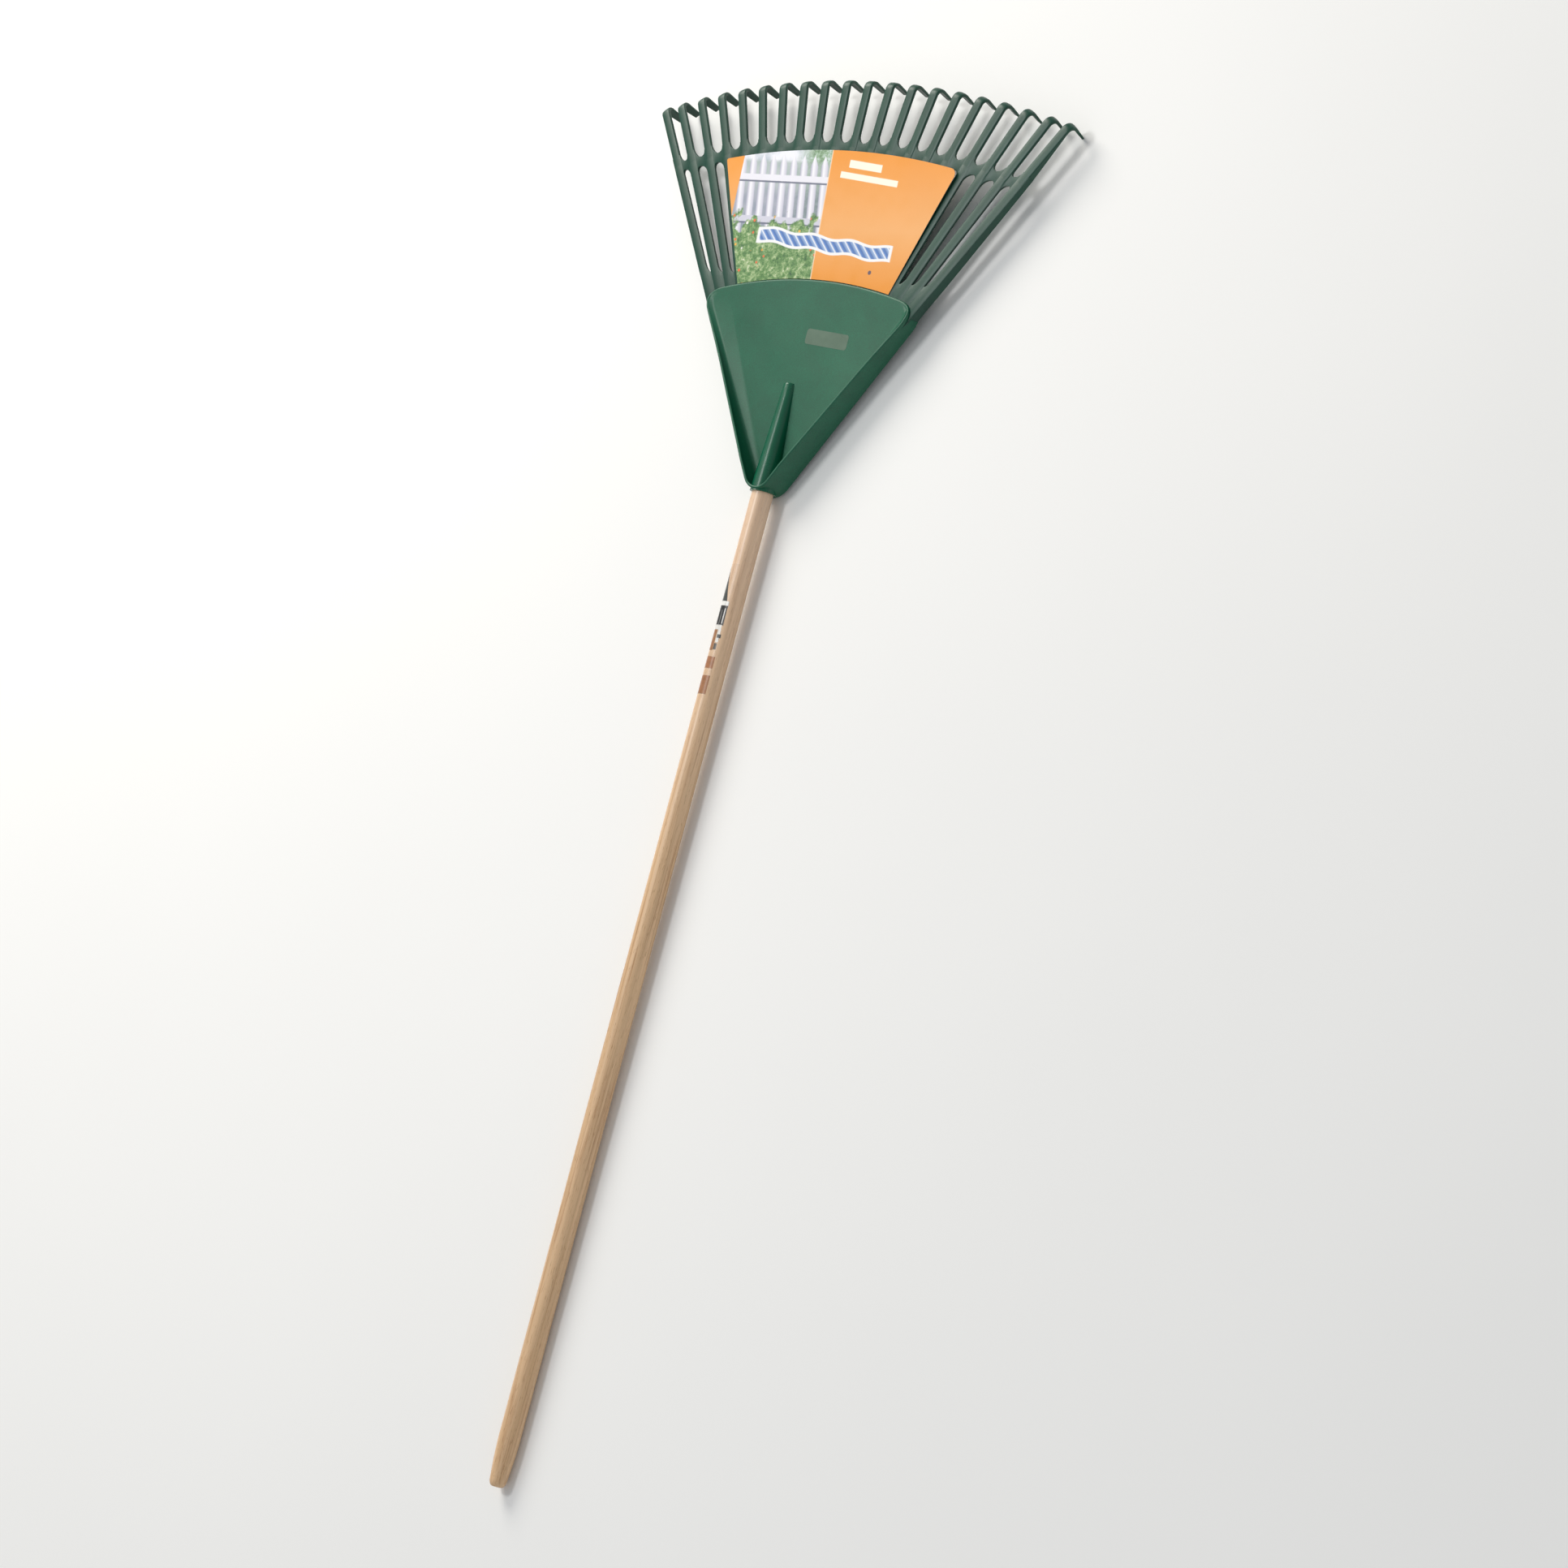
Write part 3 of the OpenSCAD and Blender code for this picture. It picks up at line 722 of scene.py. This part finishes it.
def fan_point(i, column, row):
    """Where a point of tine i's cell lies, in the fan's frame."""
    curve, bulge = fan_rows()[row]

    def rim(side, angle):
        middle, edge, own, shared = tine_edge(i, curve, side)
        if middle is None:
            inner, inner_edge = tine_edge(i, curve, -side)[:2]
            return tucked(edge - own * bulge * (inner - inner_edge).length)
        reach = middle - edge
        a = math.radians(angle)
        way = own.lerp(shared, 1 - math.cos(a))
        lift = bulge * reach.length * (1 - math.sin(a))
        return edge + reach * (1 - math.cos(a)) - way * lift

    arcs = len(ARC)
    if column < arcs:
        return rim(-1, ARC[column]) - Vector((0, 0, CROWN))
    if column >= COLUMNS - arcs:
        return rim(1, ARC[COLUMNS - 1 - column]) - Vector((0, 0, CROWN))
    t = ACROSS[column - arcs]
    point = rim(-1, 0).lerp(rim(1, 0), (t + 1) / 2)
    return point - Vector((0, 0, CROWN * t * t))


def tine_cell(i):
    """One tine with half of the slot on each side: a grid whose open slots are cut out."""
    cell = grid(COLUMNS, len(fan_rows()), lambda column, row: fan_point(i, column, row))
    bpy.ops.object.mode_set(mode="EDIT")
    bpy.ops.mesh.select_mode(type="FACE")
    bpy.ops.mesh.select_all(action="DESELECT")
    mesh = bmesh.from_edit_mesh(cell.data)
    mesh.faces.ensure_lookup_table()
    arcs = len(ARC)
    for face in mesh.faces:
        row, column = divmod(face.index, COLUMNS - 1)
        in_slot = column < arcs or column >= COLUMNS - 1 - arcs
        beyond = (i == 0 and column < arcs) or (i == LAST and column >= COLUMNS - 1 - arcs)
        face.select = (in_slot and row == 2) or beyond
    bmesh.update_edit_mesh(cell.data)
    bpy.ops.mesh.delete(type="FACE")
    bpy.ops.mesh.select_mode(type="VERT")
    bpy.ops.object.mode_set(mode="OBJECT")
    return cell


def fan_plate():
    """The lower tines, their root plate and the cross brace, as one plate with its edges rounded over."""
    plate = join([tine_cell(i) for i in range(TINES)], "fan_plate")
    only(plate)
    bpy.ops.object.mode_set(mode="EDIT")
    bpy.ops.mesh.select_all(action="SELECT")
    bpy.ops.mesh.remove_doubles(threshold=0.02 * MM)
    bpy.ops.mesh.normals_make_consistent(inside=False)
    bpy.ops.object.mode_set(mode="OBJECT")
    apply_modifier(plate, "SOLIDIFY", thickness=sizes().tine_t, offset=0, use_even_offset=True)
    apply_modifier(plate, "BEVEL", width=0.7 * MM, segments=3, limit_method="ANGLE", angle_limit=math.radians(50))
    plate.data.transform(fan_matrix())
    return plate


def tine_section(width, thick, radius):
    """Section of a tine with rounded corners and a crowned face, as (across, up) points."""
    points = []
    for turn in range(4):
        cx = (width / 2 - radius) * (1, -1, -1, 1)[turn]
        cz = (thick / 2 - radius) * (1, 1, -1, -1)[turn]
        points += [(cx + radius * math.cos(a), cz + radius * math.sin(a))
                   for a in (math.radians(90 * turn + 30 * k) for k in range(4))]
        if turn in (0, 2):
            points += [(side * width / 6, cz + radius * (1 if turn == 0 else -1))
                       for side in ((1, -1) if turn == 0 else (-1, 1))]
    return [(x, z - CROWN * (2 * x / width) ** 2) for x, z in points]


def rib(i, start, end, depth0, depth1):
    """Stiffening rib under a tine, from start to end along it."""
    matrix = fan_matrix() @ tine_matrix(i)
    half, slope = 1.5 * MM, 0.75 * MM

    def where(ring, k):
        y, depth = ring
        x = (half, half, slope, -slope, -half, -half)[k]
        z = (0, -1.2 * MM, -depth, -depth, -1.2 * MM, 0)[k]
        return matrix @ Vector((x, y, z))
    rings = [(mix(start, end, t / 8), mix(depth0, depth1, t / 8)) for t in range(9)]
    return sweep("rib", 6, rings, where)


def flange(i, rings):
    """Turned-down outer edge of an outermost tine: rings are (distance along it, depth)."""
    matrix = tine_matrix(i)
    side = math.copysign(1, place(i))
    outer = sizes().tine_w / 2
    inner = outer - 2.0 * MM
    top = sizes().tine_t / 2 - 0.8 * MM
    soft = 0.6 * MM

    def where(ring, k):
        y, depth = ring
        x = (inner, outer - soft, outer, outer, outer - soft, inner + soft, inner)[k]
        z = (top, top, top - soft, -depth + soft, -depth, -depth, -depth + soft)[k]
        edge = matrix @ Vector((side * outer, y, 0))
        return fan_matrix() @ (matrix @ Vector((side * x, y, z)) + tucked(edge) - edge)
    return sweep("flange", 7, rings, where)


def pan_loop():
    """Closed outline of the pan seen from above: (point, wall height, flange depth), from the mouth round."""
    s = sizes()
    slope = (s.pan_corner_x - s.pan_half_w) / s.pan_corner_y
    tilt = math.atan(slope)
    end_y = (s.pan_end_r / math.cos(tilt) - s.pan_half_w) / slope
    cut = 28 * MM
    steps_end, steps_side, steps_corner, steps_top = 16, 10, 8, 22

    def arc_y(x):
        return s.pan_corner_y + s.pan_bulge * (1 - (x / s.pan_corner_x) ** 2)

    def level(y):
        return mix(s.wall_mouth, s.wall_corner, min(max((y - end_y) / (s.pan_corner_y - end_y), 0), 1))

    def depth(y):
        return mix(s.flange_mouth, s.flange_corner, min(max(y / s.pan_corner_y, 0), 1))
    half = []
    for k in range(steps_end // 2 + 1):
        a = -math.pi / 2 + (math.pi / 2 - tilt) * k / (steps_end // 2)
        point = (s.pan_end_r * math.cos(a), end_y + s.pan_end_r * math.sin(a))
        half.append((point, s.wall_mouth, depth(point[1])))
    foot = half[-1][0]
    corner = Vector((s.pan_corner_x, s.pan_corner_y))
    start = corner - Vector((math.sin(tilt), math.cos(tilt))) * cut
    for k in range(1, steps_side + 1):
        point = Vector(foot).lerp(start, k / steps_side)
        half.append((tuple(point), level(point.y), depth(point.y)))
    stop = Vector((corner.x - cut, arc_y(corner.x - cut)))
    floor = pan_floor()
    for k in range(1, steps_corner + 1):
        t = k / steps_corner
        point = start.lerp(corner, t).lerp(corner.lerp(stop, t), t)
        fade = step(0.0, 0.85, t)
        drop = mix(depth(start.y), 0.5 * MM, step(0.3, 0.95, t))
        half.append((tuple(point), mix(level(start.y), floor, fade), drop))
    for k in range(1, steps_top // 2 + 1):
        x = stop.x * (1 - k / (steps_top // 2))
        half.append(((x, arc_y(x)), floor, 0.5 * MM))
    mirrored = [((-p[0], p[1]), h, d) for p, h, d in reversed(half[1:-1])]
    return half + mirrored


def pan_floor():
    """Height of the pan's floor over the fan's plane."""
    return sizes().tine_t / 2 + 0.8 * MM + sizes().shell_t


def pan_tray():
    """The pan: a floor whose edge turns up into walls at the sides and down into flanges."""
    s = sizes()
    loop = pan_loop()
    count = len(loop)
    points = [Vector(p) for p, _, _ in loop]
    normals = []
    for k in range(count):
        run = points[(k + 1) % count] - points[k - 1]
        normals.append(Vector((run.y, -run.x)).normalized())
    floor, t, matrix = pan_floor(), s.shell_t, fan_matrix()

    foot = t + 5.2 * MM
    draft = math.tan(math.radians(9))
    # (inset, lean inwards over the flange's foot, height worked from the wall's top and the flange's drop)
    rings = [
        (foot + 3 * MM, 0, lambda wall, drop: floor),
        (foot + 1.2 * MM, 0, lambda wall, drop: floor + 0.05 * (wall - floor)),
        (foot, 0, lambda wall, drop: floor + 0.18 * (wall - floor)),
        (t + 1.2 * MM, 0.6 * draft, lambda wall, drop: mix(floor, wall, 0.8)),
        (t + 0.5 * MM, draft, lambda wall, drop: max(wall - 0.9 * MM, floor)),
        (t - 0.1 * MM, draft, lambda wall, drop: max(wall - 0.25 * MM, floor)),
        (t * 0.6, draft, lambda wall, drop: wall),
        (t * 0.25, draft, lambda wall, drop: wall - 0.2 * MM),
        (0.15 * MM, draft, lambda wall, drop: wall - 0.8 * MM),
        (0.0, draft, lambda wall, drop: wall - 1.8 * MM),
        (0.0, draft, lambda wall, drop: 0.4 * wall),
        (0.0, draft, lambda wall, drop: -drop + 0.8 * MM),
        (0.5 * MM, draft, lambda wall, drop: -drop),
        (t - 0.5 * MM, 0, lambda wall, drop: -drop),
        (t, 0, lambda wall, drop: -drop + 0.8 * MM),
        (t + 0.2 * MM, 0, lambda wall, drop: floor - t - 0.6 * MM),
        (t + 2.5 * MM, 0, lambda wall, drop: floor - t),
        (t + 6 * MM, 0, lambda wall, drop: floor - t),
    ]

    def where(ring, k):
        inset, lean, height = ring
        wall, drop = loop[k][1:]
        z = height(wall, drop)
        # the top edge keeps no lean, since its lip is thin
        p = points[k] - normals[k] * (inset + lean * (z + drop) * min((wall - floor) / foot, 1))
        return matrix @ Vector((p.x, p.y, z))
    return sweep("pan_tray", count, rings, where)


def socket_rib():
    """The tapered socket round the handle's end, which stands out of the pan as a half-round rib."""
    s, r = sizes(), handle_radius()
    wall = s.socket_wall
    soft = 2.2 * MM
    end = s.taper_len + 1 * MM

    def outer(y):
        return mix(r, s.taper_end_r, max(y + s.taper_start, 0) / (s.taper_len + s.taper_start)) + wall
    mouth = -1.2 * MM
    profile = [(r - 2 * MM, mouth), (r + wall, mouth)]
    profile += [(outer(y), y) for y in (mix(0, end, k / 10) for k in range(11))]
    profile += [(outer(end) - soft * (1 - math.cos(a)), end + soft * math.sin(a))
                for a in (math.radians(k) for k in (20, 40, 60, 80))]
    profile += [(outer(end) - 1.6 * soft, end + soft)]
    return turned("socket_rib", profile, handle_matrix())


class LEAFRAKE_OT_head(bpy.types.Operator):
    """Moulds the head: pan, socket, lower tines, cross brace, ribs and side flanges in one piece"""
    bl_idname = "leafrake.head"
    bl_label = "Rake Head"

    def execute(self, context):
        s = sizes()
        pan_green = moulded_polypropylene("polypropylene_moulded_pan", colours().pan, 0.75, 0.38, 0.5)
        rib_green = moulded_polypropylene("polypropylene_polished_socket", colours().pan, 0.1, 0.24, 0.3)
        # the fan takes the darker tine green, which is painted shade on the pan's plastic
        fan_green_painted_shade = moulded_polypropylene("polypropylene_fan_painted_shade", colours().tines, 0.4, 0.36, 0.46)
        pan, socket = pan_tray(), socket_rib()
        pan.data.materials.append(pan_green)
        socket.data.materials.append(rib_green)
        tray = join([pan, socket], "pan")
        r = handle_radius() + BORE_GAP
        bore = turned("bore", [(r, -30 * MM), (r, -s.taper_start),
                               (s.taper_end_r + BORE_GAP, s.taper_len + 0.4 * MM)], handle_matrix())
        apply_modifier(tray, "BOOLEAN", operation="DIFFERENCE", object=bore, solver="EXACT", use_self=True)
        bpy.data.objects.remove(bore)
        parts = [fan_plate()]
        for i in range(TINES):
            brace = along_to(i, brace_outer)
            parts.append(rib(i, 2 * MM, brace + 3 * MM, 4.6 * MM, 4.2 * MM))
        for i in (0, LAST):
            brace = along_to(i, brace_outer)
            rings = [(mix(-40 * MM, brace + 6 * MM, t / 12), mix(s.flange_corner, s.flange_brace, t / 12))
                     for t in range(13)]
            parts.append(flange(i, rings))
        fan = join(parts, "fan")
        fan.data.materials.clear()
        fan.data.materials.append(fan_green_painted_shade)
        head = join([tray, fan], "rake_head_moulding")
        smooth(head, 40)
        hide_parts("rake_head")
        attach(head, "root")
        return {"FINISHED"}


# ---- the tines ----

def tine_rings(i):
    """Stations of a tine's middle line, from inside the brace to the hook's end: (y, z, angle, width, thickness)."""
    s = sizes()
    start = along_to(i, brace_outer) - 5 * MM
    bend, turn = bend_at(i), s.hook_turn
    width, thick = s.tine_w + TINE_GROWTH, s.tine_t + TINE_GROWTH
    straight, curved, ending = 14, 9, 5
    rings = [(mix(start, bend, k / straight), 0, 0, width, thick) for k in range(straight)]
    rings += [(bend + s.hook_r * math.sin(turn * k / curved), s.hook_r * (math.cos(turn * k / curved) - 1),
               turn * k / curved, width - 0.4 * MM * k / curved, thick)
              for k in range(curved + 1)]
    y, z, _, width, thick = rings[-1]
    for k in range(1, ending + 1):
        share = k / ending
        reach = hook_length() * share
        rings.append((y + reach * math.cos(turn), z - reach * math.sin(turn), turn,
                      mix(width, s.hook_end_w, share), mix(thick, s.hook_end_t, share)))
    return rings


def hook_length():
    """Length of a hook's straight end: what brings the outermost hooks to the floor."""
    s = sizes()
    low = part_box("tine_01")[0].z
    matrix = fan_matrix() @ tine_matrix(0)
    end = matrix @ Vector((-s.hook_end_w / 2, bend_at(0) + s.hook_r * math.sin(s.hook_turn),
                           s.hook_r * (math.cos(s.hook_turn) - 1)))
    end += matrix.to_3x3() @ Vector((0, math.sin(s.hook_turn), math.cos(s.hook_turn))) * s.hook_end_t / 2
    fall = matrix.to_3x3() @ Vector((0, math.cos(s.hook_turn), -math.sin(s.hook_turn)))
    return (end.z - low) / -fall.z


def tine_end(i):
    """One flexing tine end, from inside the brace to the end of its hook, rounded all over."""
    matrix = fan_matrix() @ tine_matrix(i)
    rings = tine_rings(i)
    last = rings[-1]
    soft = 0.8 * MM
    back = Vector((0, last[0], last[1])) - Vector((0, math.cos(last[2]), -math.sin(last[2]))) * soft
    body = rings[:-1]
    body.append((back.y, back.z, *last[2:]))
    body.append((mix(back.y, last[0], 0.7), mix(back.z, last[1], 0.7), last[2], last[3] * 0.93, last[4] * 0.86))
    body.append((last[0], last[1], last[2], last[3] * 0.8, last[4] * 0.62))

    def where(ring, k):
        y, z, angle, width, thick = ring
        across, height = tine_section(width, thick, min(0.75 * MM, thick / 3))[k]
        return matrix @ Vector((across, y + height * math.sin(angle), z + height * math.cos(angle)))
    return sweep("tine", len(tine_section(1, 1, 0.1)), body, where)


class LEAFRAKE_OT_tines(bpy.types.Operator):
    """Moulds the twenty hooked tine ends, which leave the head at the brace"""
    bl_idname = "leafrake.tines"
    bl_label = "Tine Ends"

    def execute(self, context):
        s = sizes()
        # the fan's darker green is painted shade
        green = bpy.data.materials["polypropylene_fan_painted_shade"]
        for i in range(TINES):
            name = f"tine_{i + 1:02d}"
            brace, bend = along_to(i, brace_outer), bend_at(i)
            parts = [tine_end(i), rib(i, brace + 1 * MM, bend + 1 * MM, 4.2 * MM, 1.8 * MM)]
            if i in (0, LAST):
                shallow = s.tine_t / 2 + 0.4 * MM
                rings = [(mix(brace + 5 * MM, bend, t / 10), mix(s.flange_brace - 0.1 * MM, shallow, t / 10))
                         for t in range(11)]
                parts.append(flange(i, rings))
            tine = join(parts, name + "_moulding")
            smooth(tine, 40)
            finish_piece(tine, name + "_moulding", name, None, green)
            matrix = fan_matrix() @ tine_matrix(i)
            start = matrix @ Vector((0, hinge_at(i) - 3 * MM, 0))
            end = matrix @ Vector((0, hinge_at(i) + 34 * MM, 0))
            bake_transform(tine)
        return {"FINISHED"}


class LEAFRAKE_OT_handle(bpy.types.Operator):
    """Turns the wooden handle, with its rounded butt and its taper into the socket"""
    bl_idname = "leafrake.handle"
    bl_label = "Handle"

    def execute(self, context):
        piece = turned("handle_turned", handle_profile(), handle_matrix())
        smooth(piece, 50)
        finish_piece(piece, "handle_turned", "handle", "root", lacquered_hardwood())
        return {"FINISHED"}


class LEAFRAKE_OT_screw(bpy.types.Operator):
    """Sets the cross-recessed screw under the socket"""
    bl_idname = "leafrake.screw"
    bl_label = "Socket Screw"

    def execute(self, context):
        low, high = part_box("socket_screw")
        matrix = fan_matrix()
        local = matrix.inverted() @ ((low + high) / 2)
        head_r, head_h, shank_r = 4 * MM, 2.2 * MM, 1.75 * MM
        tall = (high - low).z
        base = Vector((0, local.y, local.z - tall / 2 + 0.15 * MM))
        frame_at = matrix @ Matrix.Translation(base) @ Matrix.Rotation(math.pi / 2, 4, "X")
        profile = [(head_r * 0.2, 0.0), (head_r * 0.7, 0.1 * MM), (head_r * 0.93, 0.6 * MM), (head_r, 1.2 * MM),
                   (head_r, head_h), (shank_r, head_h)]
        profile += [(shank_r, tall - 2 * MM), (0.3 * MM, tall - 0.8 * MM)]
        screw = turned("screw", profile, frame_at)
        for turn in (0, 1):
            deselect()
            bpy.ops.mesh.primitive_cube_add(size=1)
            blade = bpy.context.object
            blade.data.transform(Matrix.Diagonal((0.9 * MM, 2.4 * MM, 4.4 * MM, 1)))
            blade.data.transform(frame_at @ Matrix.Rotation(turn * math.pi / 2, 4, "Y"))
            apply_modifier(screw, "BOOLEAN", operation="DIFFERENCE", object=blade, solver="EXACT")
            bpy.data.objects.remove(blade)
        smooth(screw, 40)
        finish_piece(screw, "socket_screw_headed", "socket_screw", "root", zinc_plated_steel())
        return {"FINISHED"}


# ---- card and stickers ----

CARD_LOW = 112 * MM
CARD_TOP = 171 * MM
CARD_TOP_Y = 368 * MM
CARD_BULGE = 15 * MM
CARD_T = 0.5 * MM
CARD_LIFT = 0.6 * MM


def sag(x, y):
    """How far the fan's face lies under its plane at a point."""
    s = sizes()
    end_x = spread(LAST, s.tip_pitch, s.tip_pitch_end)
    return s.droop * (x / end_x) ** 2 * min(max((y - s.root_y) / (s.tip_y - s.root_y), 0), 1)


def card_point(u, v):
    s = sizes()
    x0, x1 = (2 * u - 1) * CARD_LOW, (2 * u - 1) * CARD_TOP
    y0 = s.pan_corner_y + s.pan_bulge * (1 - (x0 / s.pan_corner_x) ** 2) + 1 * MM
    y1 = CARD_TOP_Y + CARD_BULGE * (1 - (x1 / CARD_TOP) ** 2)
    x, y = mix(x0, x1, v), mix(y0, y1, v)
    return Vector((x, y, s.tine_t / 2 + CARD_LIFT + CARD_T / 2 - 0.7 * sag(x, y)))


class LEAFRAKE_OT_card(bpy.types.Operator):
    """Cuts the printed retail card, rounds its corner and lays it over the lower tines"""
    bl_idname = "leafrake.card"
    bl_label = "Retail Card"

    def execute(self, context):
        columns, rows = 28, 13
        card = grid(columns, rows, lambda column, row: card_point(column / (columns - 1), row / (rows - 1)))
        bpy.ops.object.mode_set(mode="EDIT")
        for u, radius in ((1, 9.5 * MM), (0, 3 * MM)):
            corner = card_point(u, 1)
            bpy.ops.mesh.select_all(action="DESELECT")
            mesh = bmesh.from_edit_mesh(card.data)
            for v in mesh.verts:
                v.select = (v.co - corner).length < 0.1 * MM
            mesh.select_flush_mode()
            bmesh.update_edit_mesh(card.data)
            bpy.ops.mesh.bevel(offset=radius, segments=8, affect="VERTICES", clamp_overlap=False)
        bpy.ops.object.mode_set(mode="OBJECT")
        card.data.transform(fan_matrix())
        finish_piece(card, "retail_card_printed", "retail_card", "root", printed_card())
        card.data.materials.append(card_board())
        apply_modifier(card, "SOLIDIFY", thickness=CARD_T, offset=0, material_offset=1, material_offset_rim=1)
        smooth(card, 40)
        return {"FINISHED"}


class LEAFRAKE_OT_glue(bpy.types.Operator):
    """Presses the hot-melt glue dots between the card and the middle tines"""
    bl_idname = "leafrake.glue"
    bl_label = "Card Glue"

    def execute(self, context):
        s = sizes()
        dots = []
        for i in (6, 8, 11, 13):
            for reach in (30 * MM, 80 * MM):
                foot = tine_matrix(i) @ Vector((0, reach, 0)) + Vector((0, 0, s.tine_t / 2 + 0.05 * MM))
                head = card_point(0.5, 0.5).z - CARD_T / 2
                tall = max(head - foot.z, 0.3 * MM)
                matrix = fan_matrix() @ Matrix.Translation(foot) @ Matrix.Rotation(math.pi / 2, 4, "X")
                profile = [(1.2 * MM, 0.0), (2.3 * MM, 0.0), (2.6 * MM, 0.3 * tall), (2.6 * MM, 0.7 * tall),
                           (2.3 * MM, tall), (1.2 * MM, tall)]
                dots.append(turned("dot", profile, matrix))
        glue = join(dots, "card_glue_pressed")
        smooth(glue, 60)
        finish_piece(glue, "card_glue_pressed", "card_glue_dots", "root", hot_melt_glue())
        return {"FINISHED"}


class LEAFRAKE_OT_handle_sticker(bpy.types.Operator):
    """Wraps the printed film round the handle's side"""
    bl_idname = "leafrake.handle_sticker"
    bl_label = "Handle Sticker"

    def execute(self, context):
        r = handle_radius() + 0.03 * MM
        start, end = -84 * MM, -230 * MM
        low, high = math.radians(58) - math.asin(0.7), math.radians(58) + math.asin(0.85)
        columns, rows = 17, 25
        matrix = handle_matrix()

        def point(column, row):
            a = mix(low, high, column / (columns - 1))
            return matrix @ Vector((-r * math.cos(a), mix(end, start, row / (rows - 1)), r * math.sin(a)))
        film = grid(columns, rows, point)
        apply_modifier(film, "SOLIDIFY", thickness=0.04 * MM, offset=0)
        smooth(film, 40)
        finish_piece(film, "handle_sticker_film", "handle_sticker", "root", printed_film())
        return {"FINISHED"}


class LEAFRAKE_OT_pan_sticker(bpy.types.Operator):
    """Sticks the blank film rectangle with rounded corners on the pan"""
    bl_idname = "leafrake.pan_sticker"
    bl_label = "Pan Sticker"

    def execute(self, context):
        deselect()
        matrix = fan_matrix()
        low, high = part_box("pan_sticker")
        centre = matrix.inverted() @ ((low + high) / 2)
        bpy.ops.mesh.primitive_plane_add(size=1)
        film = bpy.context.object
        film.data.transform(Matrix.Translation((centre.x, centre.y, pan_floor() + 0.05 * MM))
                            @ Matrix.Rotation(math.radians(-4), 4, "Z") @ Matrix.Diagonal((62 * MM, 17 * MM, 1, 1)))
        bpy.ops.object.mode_set(mode="EDIT")
        bpy.ops.mesh.select_all(action="SELECT")
        bpy.ops.mesh.bevel(offset=3.5 * MM, segments=6, affect="VERTICES")
        bpy.ops.object.mode_set(mode="OBJECT")
        film.data.transform(matrix)
        apply_modifier(film, "SOLIDIFY", thickness=0.1 * MM, offset=0)
        finish_piece(film, "pan_sticker_film", "pan_sticker", "root", frosted_film())
        return {"FINISHED"}


# ---- the stage ----

class LEAFRAKE_OT_stage(bpy.types.Operator):
    """Lays the pale studio floor, hangs the soft lights and sets the camera"""
    bl_idname = "leafrake.stage"
    bl_label = "Studio"

    def execute(self, context):
        deselect()
        bpy.ops.mesh.primitive_plane_add(size=14, location=(0, 0, 0))
        floor = bpy.context.object
        floor.name = "studio_floor"
        floor.data.materials.append(studio_paper())

        world = bpy.data.worlds.new("soft_studio")
        context.scene.world = world
        world.use_nodes = True
        sky = world.node_tree.nodes["Background"]
        sky.inputs["Color"].default_value = (*linear("#EDF0F4"), 1)
        sky.inputs["Strength"].default_value = 0.46

        # (name, place, size, watts, colour); each aims at the middle of the rake
        for name, spot, size, power, tint in (
            ("key_softbox", (-2.5, 2.9, 2.4), 2.6, 150, "#FFFAF2"),
            ("fill_softbox", (2.6, -3.0, 2.0), 2.4, 8, "#F2F6FF"),
            ("top_softbox", (-1.25, 0.85, 4.0), 1.0, 48, "#FFFFFF"),
        ):
            bpy.ops.object.light_add(type="AREA", location=spot)
            lamp = bpy.context.object
            lamp.name = name
            lamp.data.shape = "DISK"
            lamp.data.size = size
            lamp.data.energy = power
            lamp.data.color = linear(tint)
            lamp.rotation_euler = (-Vector(spot)).to_track_quat("-Z", "Y").to_euler()

        bpy.ops.object.camera_add(location=(3.51988, -0.49409, 3.64191),
                                  rotation=[math.radians(a) for a in (18.935, 39.706, 19.764)])
        camera = bpy.context.object
        camera.name = "studio_camera"
        camera.data.lens = 108.6
        camera.data.sensor_width = 36
        camera.data.clip_end = 100
        context.scene.camera = camera
        context.scene.view_settings.view_transform = "Standard"
        return {"FINISHED"}


class LEAFRAKE_PT_panel(bpy.types.Panel):
    """Lists the rake's pieces, sizes and colours in the sidebar"""
    bl_idname = "LEAFRAKE_PT_panel"
    bl_label = "Leaf Rake"
    bl_space_type = "VIEW_3D"
    bl_region_type = "UI"
    bl_category = "Leaf Rake"

    def draw(self, context):
        for operator in OPERATORS:
            self.layout.operator(operator.bl_idname)
        for group in (context.scene.rake_sizes, context.scene.rake_colours):
            box = self.layout.box()
            for key in group.__annotations__:
                box.prop(group, key)


OPERATORS = [LEAFRAKE_OT_stage, LEAFRAKE_OT_handle, LEAFRAKE_OT_head, LEAFRAKE_OT_tines, LEAFRAKE_OT_screw,
             LEAFRAKE_OT_card, LEAFRAKE_OT_glue, LEAFRAKE_OT_handle_sticker, LEAFRAKE_OT_pan_sticker]


def register():
    register_groups()
    for kind in [*OPERATORS, LEAFRAKE_PT_panel]:
        bpy.utils.register_class(kind)


def unregister():
    for kind in [LEAFRAKE_PT_panel, *reversed(OPERATORS), *reversed(CLASSES)]:
        bpy.utils.unregister_class(kind)
    del bpy.types.Scene.rake_sizes
    del bpy.types.Scene.rake_colours


def main():
    register()
    for operator in OPERATORS:
        group, name = operator.bl_idname.split(".")
        getattr(getattr(bpy.ops, group), name)()


if __name__ == "__main__":
    main()
